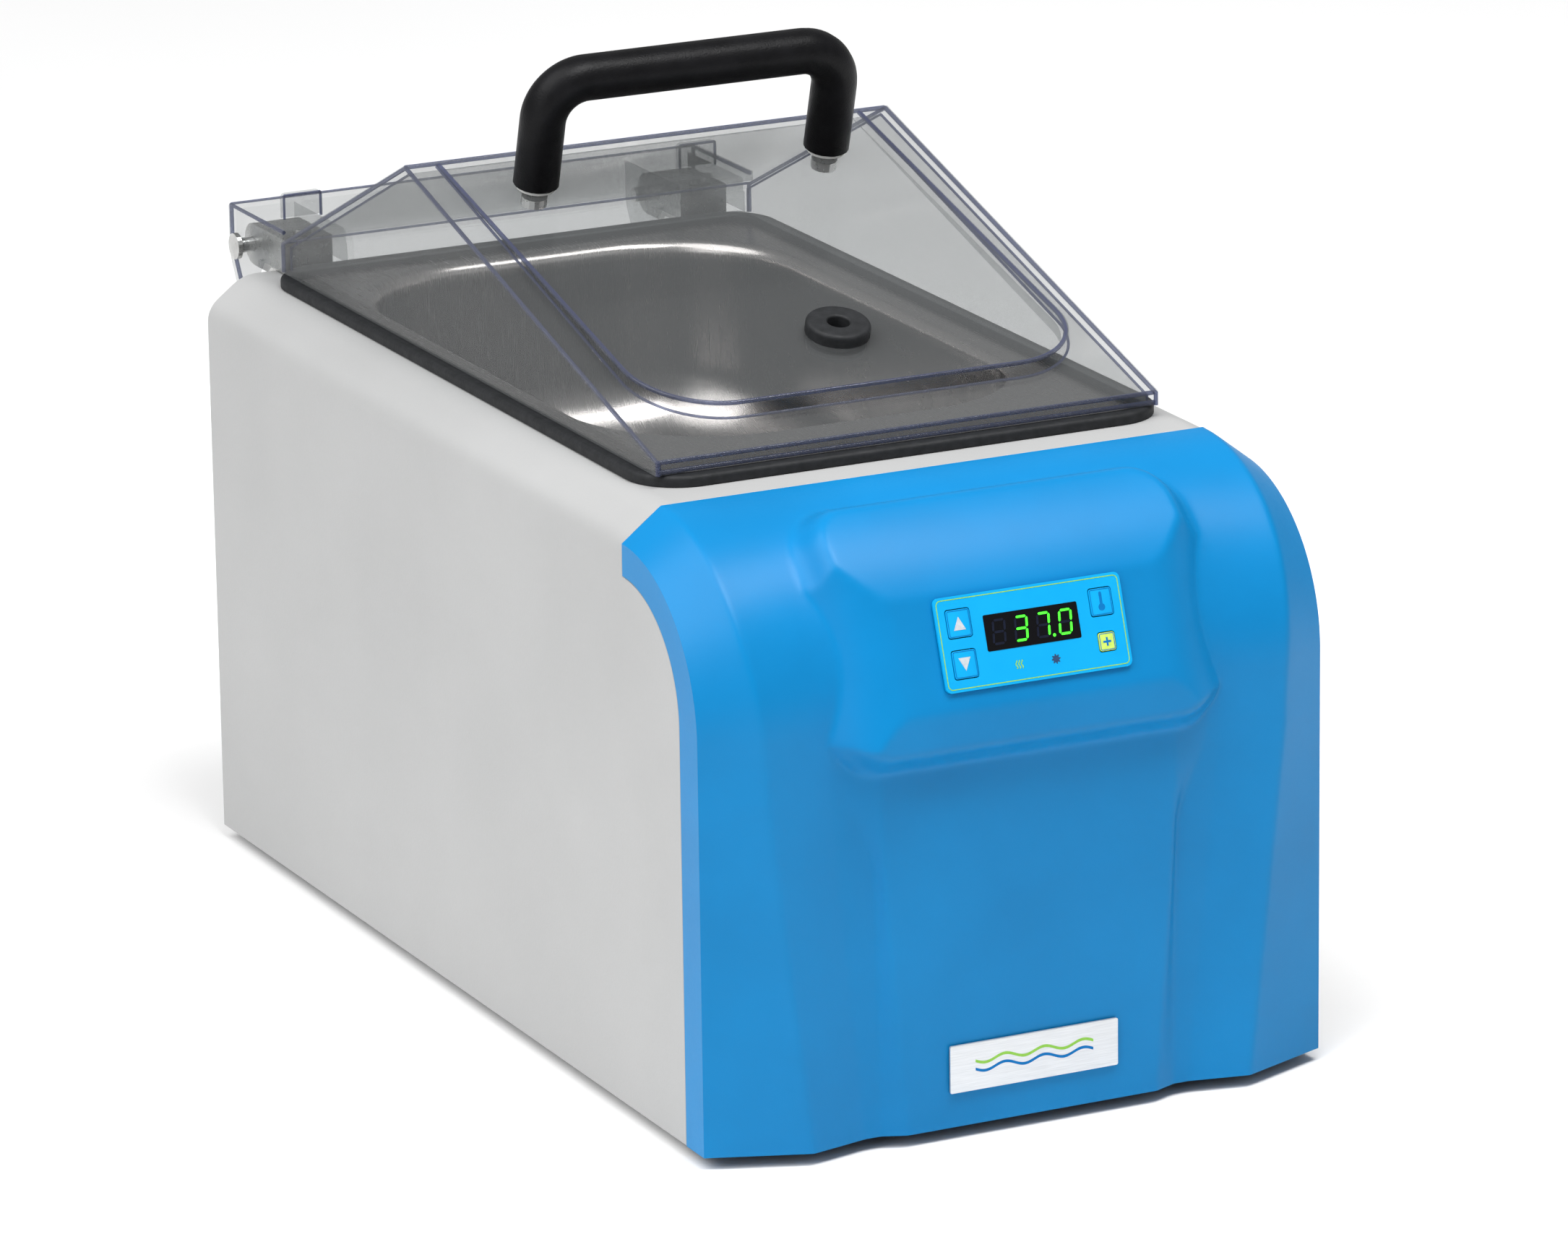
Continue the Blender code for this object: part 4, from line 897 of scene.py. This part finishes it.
def make_nameplate():
    """Satin plate with two printed waves, in place of any name."""
    low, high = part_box("nameplate")
    low, high = low - DATUM, high - DATUM
    centre_z, height, width = (low.z + high.z) / 2, high.z - low.z, high.x - low.x
    outline = rounded_rectangle(width / 2, centre_z - height / 2, centre_z + height / 2, 0.6 * MM, 4)
    plate = prism("plate", outline, "XZ", (low.y, high.y))
    round_edges(plate, 0.15 * MM, 2, 40)
    apply_modifiers(plate)
    finish_piece(shade(plate), "metal_plate", "root", ["nameplate"])
    waves = 3
    for row in range(2):
        base = centre_z + (1.3 - 2.6 * row) * MM
        line = [(x * 0.5 * MM, base + 0.9 * MM * math.sin(x * waves * math.pi / 40))
                for x in range(-40, 41)]
        band = line + [(x, z + 0.9 * MM) for x, z in reversed(line)]
        mark = prism(f"plate_wave_{row}", band, "XZ", (low.y - PRINT, low.y))
        finish_piece(mark, "line_ink" if row else "lime_ink", "root")


# ---------------------------------------------------------------- tank and gasket

def make_tank():
    """Deep-drawn tank: wide flange, rolled rim, drafted walls and a wide floor radius."""
    def ring(half_width, low, high, radius, z):
        return [(x, y, z) for x, y in rounded_rectangle(half_width, low, high, radius)]

    top = HEIGHT + GAP + TANK_SHEET
    rings = [ring(*FLANGE, 12 * MM, top)]
    half_width, low, high = MOUTH
    for angle in range(90, -1, -10):
        grow = TANK_RIM_R * (1 - math.cos(math.radians(angle)))
        drop = TANK_RIM_R * (1 - math.sin(math.radians(angle)))
        rings.append(ring(half_width + grow, low - grow, high + grow, MOUTH_CORNER + grow, top - drop))
    floor = top - TANK_DEPTH
    for angle in range(0, 91, 9):
        inset = TANK_DRAFT + TANK_FLOOR_R * (1 - math.cos(math.radians(angle)))
        lift = TANK_FLOOR_R * (1 - math.sin(math.radians(angle)))
        rings.append(ring(half_width - inset, low + inset, high - inset, MOUTH_CORNER - inset,
                          floor + lift))
    tank = ring_loft("bath_tank", rings, closed=False, cap=True)
    if max(tank.data.polygons, key=lambda p: p.area).normal.z < 0:
        tank.data.flip_normals()
    thicken(tank, TANK_SHEET)
    apply_modifiers(tank)
    shade(tank, 40)
    return finish_piece(tank, "steel_painted_highlights", "root", ["tank"])


def make_gasket():
    """Rubber frame with a rounded top and a small outer lip."""
    half_width, low, high = GASKET
    base = HEIGHT + GAP
    band = GASKET[0] - FLANGE[0] - GAP
    section = [(0, base)] + [(1.4 * MM + x, z) for x, z in
                             arc((0, GASKET_TOP - 1.4 * MM), 1.4 * MM, 180, 90, 6)]
    section += [(band - 1 * MM + x, z) for x, z in arc((0, GASKET_TOP - 1 * MM), 1 * MM, 90, 0, 5)]
    section.append((band, base))
    rings = []
    for inset, z in section:
        outline = rounded_rectangle(half_width - inset, low + inset, high - inset, 17.5 * MM - inset)
        rings.append([(x, y, z) for x, y in outline])
    gasket = shade(ring_loft("gasket", rings), 40)
    return finish_piece(gasket, "rubber", "root", ["tank_gasket"])


# ---------------------------------------------------------------- lid

def slope_point(y, out=0.0):
    """(y, z) of a point on the lid's front slope, moved out along its normal."""
    z = LID_FRONT[1] + (y - LID_FRONT[0]) * math.tan(SLOPE)
    return y - out * math.sin(SLOPE), z + out * math.cos(SLOPE)


def gable_outline(inset, bottom):
    """(y, z) outline of the lid's side, drawn in by the wall."""
    front, rear = LID_FRONT[0] + inset, LID_REAR[0] - inset
    rear_slope = (LID_APEX[1] - LID_REAR[1]) / (LID_REAR[0] - LID_APEX[0])
    z_front = LID_FRONT[1] + inset * math.tan(SLOPE) - inset / math.cos(SLOPE)
    z_rear = LID_REAR[1] + inset * rear_slope - inset / math.cos(math.atan(rear_slope))
    rise = math.tan(SLOPE)
    y_apex = (z_rear - z_front + rise * front + rear_slope * rear) / (rise + rear_slope)
    return [(front, bottom), (rear, bottom), (rear, z_rear), (y_apex, z_front + rise * (y_apex - front)),
            (front, z_front)]


def plateau(inset):
    """Raised field of the front slope: high at the front, level with the slope at the ridge."""
    drop = inset / math.cos(SLOPE)
    y0, y1 = PLATEAU_FRONT + inset, LID_APEX[0] - 1 * MM
    z0, z1 = slope_point(y0)[1], slope_point(y1)[1]
    wedge = [(y0, z0 - 8 * MM), (y1, z1 - 8 * MM), (y1, z1 - drop + 0.4 * MM),
             (y0, z0 - drop + PLATEAU_RISE)]
    field = prism("field", wedge, "YZ", (-LID_HALF_WIDTH, LID_HALF_WIDTH))
    outline = rounded_rectangle(PLATEAU_HALF_WIDTH - inset, y0, y1 + PLATEAU_CORNER,
                                PLATEAU_CORNER - inset)
    column = prism("field_outline", outline, "XY", (HEIGHT, HEIGHT + 90 * MM))
    return boolean(field, column, "INTERSECT")


def make_lid():
    """Clear gabled lid with its raised field, rear channel and hinge ears."""
    wide = (-LID_HALF_WIDTH, LID_HALF_WIDTH)
    lid = prism("clear_lid", gable_outline(0, LID_BOTTOM), "YZ", wide)
    boolean(lid, plateau(0), "UNION")
    narrow = (-LID_HALF_WIDTH + LID_WALL, LID_HALF_WIDTH - LID_WALL)
    hollow = prism("hollow", gable_outline(LID_WALL, LID_BOTTOM - 5 * MM), "YZ", narrow)
    boolean(hollow, plateau(LID_WALL), "UNION")
    boolean(lid, hollow)
    start, bottom = LID_REAR[0] - 1.5 * MM, CHANNEL_TOP - LID_WALL
    channel = [(start, LID_REAR[1] - 3 * MM), (start + 2.5 * MM, LID_REAR[1] - 3 * MM),
               (start + 2.5 * MM, bottom), (CHANNEL_REAR, bottom), (CHANNEL_REAR, CHANNEL_TOP - 1 * MM),
               (CHANNEL_REAR - 1 * MM, CHANNEL_TOP), (start, CHANNEL_TOP)]
    boolean(lid, prism("channel", channel, "YZ", wide), "UNION")
    tip = HINGE_Z - 15 * MM
    ear = [(start, HINGE_Z - 1 * MM), (HINGE_Y - 17 * MM, HINGE_Z - 1 * MM),
           (HINGE_Y - 7 * MM, tip + 2 * MM), (HINGE_Y - 5 * MM, tip), (HINGE_Y + 1 * MM, tip),
           (HINGE_Y + 3 * MM, tip + 2 * MM), (CHANNEL_REAR - 1 * MM, HINGE_Z - 6 * MM),
           (CHANNEL_REAR, HINGE_Z - 3 * MM), (CHANNEL_REAR, bottom + 1 * MM), (start, bottom + 1 * MM)]
    for side in (-1, 1):
        for inner, outer in EAR_SPANS:
            span = sorted((side * inner, side * outer))
            boolean(lid, prism("ear", ear, "YZ", span), "UNION")
        x = side * 72 * MM
        tab = rounded_rectangle(7 * MM, CHANNEL_TOP - 1 * MM, CHANNEL_TOP + 8.5 * MM, 1.5 * MM, 4)
        tab = prism("tab", [(x + px, pz) for px, pz in tab], "XZ", (364.75 * MM, 367.25 * MM))
        boolean(lid, tab, "UNION")
        bore = prism("bore", arc((HINGE_Y, HINGE_Z), PIN_HOLE_R, 0, 345, 23), "YZ",
                     sorted((side * 55 * MM, side * 90 * MM)))
        boolean(lid, bore)
        hole = turned("hole", [(0.0, -9 * MM), (HANDLE_SCREW_HOLE_R, -9 * MM),
                               (HANDLE_SCREW_HOLE_R, 9 * MM), (0.0, 9 * MM)],
                      (side * HANDLE_HALF_SPAN, *slope_point(HANDLE_Y)), NORMAL, 24)
        boolean(lid, hole)
    neck = GROMMET_R - 2.2 * MM
    hole = turned("hole", [(0.0, -9 * MM), (neck, -9 * MM), (neck, 12 * MM), (0.0, 12 * MM)],
                  (0, *slope_point(GROMMET_Y)), NORMAL, 48)
    boolean(lid, hole)
    even_normals(lid, 20)
    make_painted_edge_lines()
    return finish_piece(lid, "clear_wall", "lid_body", ["lid"])


def join(name, pieces):
    """Put several meshes into one object."""
    bm = bmesh.new()
    for piece in pieces:
        bm.from_mesh(piece.data)
        bpy.data.objects.remove(piece, do_unlink=True)
    return object_from(name, bm)


def make_painted_edge_lines():
    """Rods of painted shade along the lid's bends and rims, standing in for the dark lines that refraction
    draws there.
    """
    half, shade_line, thin = LID_HALF_WIDTH, 0.75 * MM, 0.45 * MM
    bottom = LID_BOTTOM + shade_line
    rim = [(LID_FRONT[0], bottom), LID_FRONT, LID_APEX, LID_REAR, (LID_REAR[0], bottom)]
    inner = gable_outline(LID_WALL, bottom)
    inner = [inner[0], inner[4], inner[3], inner[2], inner[1]]
    lines = []
    for side in (-1, 1):
        lines.append(([(side * (half - shade_line), y, z - shade_line) for y, z in rim], shade_line))
        lines.append(([(side * (half - LID_WALL), y, z) for y, z in inner], thin))
        end = side * (half - shade_line)
        channel = [(LID_REAR[0], CHANNEL_TOP), (CHANNEL_REAR, CHANNEL_TOP), (CHANNEL_REAR, HINGE_Z),
                   (HINGE_Y, HINGE_Z - 14 * MM)]
        lines.append(([(end, y - shade_line, z - shade_line) for y, z in channel], shade_line))
        tab = [(364.75 * MM, CHANNEL_TOP), (364.75 * MM, CHANNEL_TOP + 8 * MM)]
        for x in (65.5 * MM, 78.5 * MM):
            lines.append(([(side * x, y + thin, z) for y, z in tab], thin))
        top = CHANNEL_TOP + 8 * MM
        lines.append(([(side * x, 365.2 * MM, top) for x in (65.5 * MM, 78.5 * MM)], thin))
    for y, z, radius in ((*LID_FRONT, shade_line), (LID_FRONT[0], bottom, shade_line), (*LID_APEX, shade_line),
                         (*LID_REAR, thin), (CHANNEL_REAR - shade_line, CHANNEL_TOP, thin)):
        low = z - radius if z > bottom else z
        lines.append(([(-half + shade_line, y + radius, low), (half - shade_line, y + radius, low)], radius))
    for grow, rise, radius in ((0.0, 1.0, shade_line), (0.8 * MM, 0.0, thin)):
        outline = rounded_rectangle(PLATEAU_HALF_WIDTH + grow - shade_line, PLATEAU_FRONT - grow + shade_line,
                                    LID_APEX[0] + PLATEAU_CORNER, PLATEAU_CORNER + grow)
        middle = len(outline) // 4
        route = outline[3 * middle:] + outline[:middle]
        route = [(x, y) for x, y in route if y < LID_APEX[0]]
        route = [(route[0][0], LID_APEX[0] - 2 * MM)] + route + [(route[-1][0], LID_APEX[0] - 2 * MM)]
        lines.append(([(x, y, slope_point(y)[1] + rise * plateau_height(y) - thin) for x, y in route],
                      radius))
    # Painted shade: each rod draws a dark edge line of the clear lid.
    shade_lines = [tube(f"bead_{i}", route, radius, 2) for i, (route, radius) in enumerate(lines)]
    edges = shade(join("lid_shade_lines", shade_lines), 60)
    return finish_piece(edges, "painted_edge_shade", "lid_body")


def plateau_height(y):
    """Height of the raised field over the slope at a place along the lid."""
    length = LID_APEX[0] - 1 * MM - PLATEAU_FRONT
    return blend(PLATEAU_RISE, 0.4 * MM, (y - PLATEAU_FRONT) / length) * math.cos(SLOPE)


def make_handle():
    """Bow handle with smooth bends and eased feet."""
    base = plateau_height(HANDLE_Y) + 1.6 * MM
    span, bend = HANDLE_HALF_SPAN, HANDLE_BEND
    route = [(-span, base)]
    route += arc((-span + bend, HANDLE_RISE - bend), bend, 180, 90, 20)
    route += arc((span - bend, HANDLE_RISE - bend), bend, 90, 0, 20) + [(span, base)]
    points = [(x, *slope_point(HANDLE_Y, out)) for x, out in route]
    handle = tube("bow_handle", points, HANDLE_R, 8)
    round_edges(handle, 0.9 * MM, 3, 60)
    apply_modifiers(handle)
    shade(handle, 40)
    return finish_piece(handle, "black_moulding", "lid_body", ["lid_handle"])


def make_grommet():
    """Rubber port with rounded flanges."""
    top = plateau_height(GROMMET_Y) + GAP
    low = top - LID_WALL - 2 * GAP
    r, hole, neck = GROMMET_R, GROMMET_HOLE_R, GROMMET_R - 2.2 * MM - GAP
    profile = [(hole, low - 2.2 * MM), (hole, top + 3.2 * MM)]
    profile += [(hole + 0.8 * MM + x, z) for x, z in arc((0, top + 3.2 * MM), 0.8 * MM, 180, 90, 4)]
    profile += [(r - 1.3 * MM + x, z) for x, z in arc((0, top + 2.7 * MM), 1.3 * MM, 90, 0, 5)]
    profile += [(r, top), (neck, top), (neck, low), (r - 0.8 * MM, low)]
    profile += [(r - 1.8 * MM + x, z) for x, z in arc((0, low - 1.6 * MM), 1 * MM, 0, -90, 4)]
    port = turned("port_grommet", profile[::-1], (0, *slope_point(GROMMET_Y)), NORMAL)
    return finish_piece(port, "rubber", "lid_body", ["lid_grommet"])


# ---------------------------------------------------------------- carried CAD nodes

CARRIED = {
    "powder_coat": ["base_plate", "rear_panel"],
    "bright_steel": ["hinge_bracket_left", "hinge_bracket_right", "hinge_pin_left", "hinge_pin_right",
                     "hinge_screw_left", "hinge_screw_right", "handle_screw_left",
                     "handle_screw_right", "rear_screw_low_left", "rear_screw_low_right",
                     "rear_screw_high_left", "rear_screw_high_right", "temperature_probe",
                     "board_spacer_front_left", "board_spacer_front_right",
                     "board_spacer_rear_left", "board_spacer_rear_right"],
    "nylon": ["handle_washer_left", "handle_washer_right"],
    "rubber": ["foot_front_left", "foot_front_right", "foot_rear_left", "foot_rear_right"],
    "black_moulding": ["power_inlet", "switch_bezel", "fuse_holder", "display_module",
                       "overheat_cutout", "power_relay"],
    "tinted_lens": ["display_lens"],
    "brass": ["inlet_pin_live", "inlet_pin_neutral", "inlet_pin_earth"],
    "rocker": ["power_rocker"],
    "circuit_board": ["control_board", "power_board"],
    "heater": ["heater_mat"],
    "foam": ["insulation"],
    "aluminium": ["heat_sink"],
    "core": ["transformer"],
}


def finish_carried_nodes():
    """Give every CAD node that stays visible its own material."""
    for finish, names in CARRIED.items():
        for name in names:
            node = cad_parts[name]
            node.data.materials.clear()
            node.data.materials.append(look(finish))


# ---------------------------------------------------------------- stage

def area_light(name, place, target, size, power):
    """A soft box aimed at a point."""
    data = bpy.data.lights.new(name, "AREA")
    data.shape = "RECTANGLE"
    data.size, data.size_y = size
    data.energy = power
    lamp = bpy.data.objects.new(name, data)
    bpy.context.scene.collection.objects.link(lamp)
    lamp.location = place
    lamp.rotation_euler = (Vector(target) - Vector(place)).to_track_quat("-Z", "Y").to_euler()


def make_stage():
    """Pale floor, soft light and the camera."""
    bpy.ops.mesh.primitive_plane_add(size=12, location=(0, 0, 0))
    floor = bpy.context.object
    floor.name = "floor"
    ground = Look("floor_paper", (0.86, 0.86, 0.86), 0.8)
    ground.vary_colour(ground.noise(2, 2), (0.85, 0.85, 0.85), (0.87, 0.87, 0.87))
    floor.data.materials.append(ground.material)

    world = bpy.data.worlds.new("studio")
    bpy.context.scene.world = world
    world.use_nodes = True
    world.node_tree.nodes["Background"].inputs["Color"].default_value = (1.0, 1.0, 1.0, 1)
    world.node_tree.nodes["Background"].inputs["Strength"].default_value = 0.32
    middle = (0, 0, 0.12)
    area_light("top_soft_box", (0.15, -0.55, 1.5), middle, (1.0, 0.6), 22)
    area_light("left_soft_box", (-1.9, -0.9, 1.0), middle, (1.2, 1.4), 9)
    area_light("front_soft_box", (0.9, -2.0, 1.1), middle, (1.2, 1.0), 1)

    sun = bpy.data.lights.new("soft_sun", "SUN")
    sun.energy = 2.5
    sun.angle = math.radians(55)
    lamp = bpy.data.objects.new("soft_sun", sun)
    bpy.context.scene.collection.objects.link(lamp)
    lamp.rotation_euler = Vector((0.75, 0.0, -1.0)).to_track_quat("-Z", "Y").to_euler()

    data = bpy.data.cameras.new("camera")
    camera = bpy.data.objects.new("camera", data)
    bpy.context.scene.collection.objects.link(camera)
    data.lens = LENS
    data.sensor_width = 36
    data.shift_x, data.shift_y = CAMERA_SHIFT
    data.clip_end = 50
    turn = (Matrix.Rotation(CAMERA_AZIMUTH, 3, "Z") @ Matrix.Rotation(math.pi / 2 - CAMERA_ELEVATION, 3, "X")
            @ Matrix.Rotation(CAMERA_ROLL, 3, "Z"))
    camera.location = CAMERA_PLACE + DATUM
    camera.rotation_euler = turn.to_euler()
    bpy.context.scene.camera = camera
    bpy.context.scene.view_settings.view_transform = "Standard"


def main():
    """Build every piece."""
    make_stage()
    make_housing()
    make_front_panel()
    make_key_pad()
    make_nameplate()
    make_tank()
    make_gasket()
    make_lid()
    make_handle()
    make_grommet()
    finish_carried_nodes()


main()
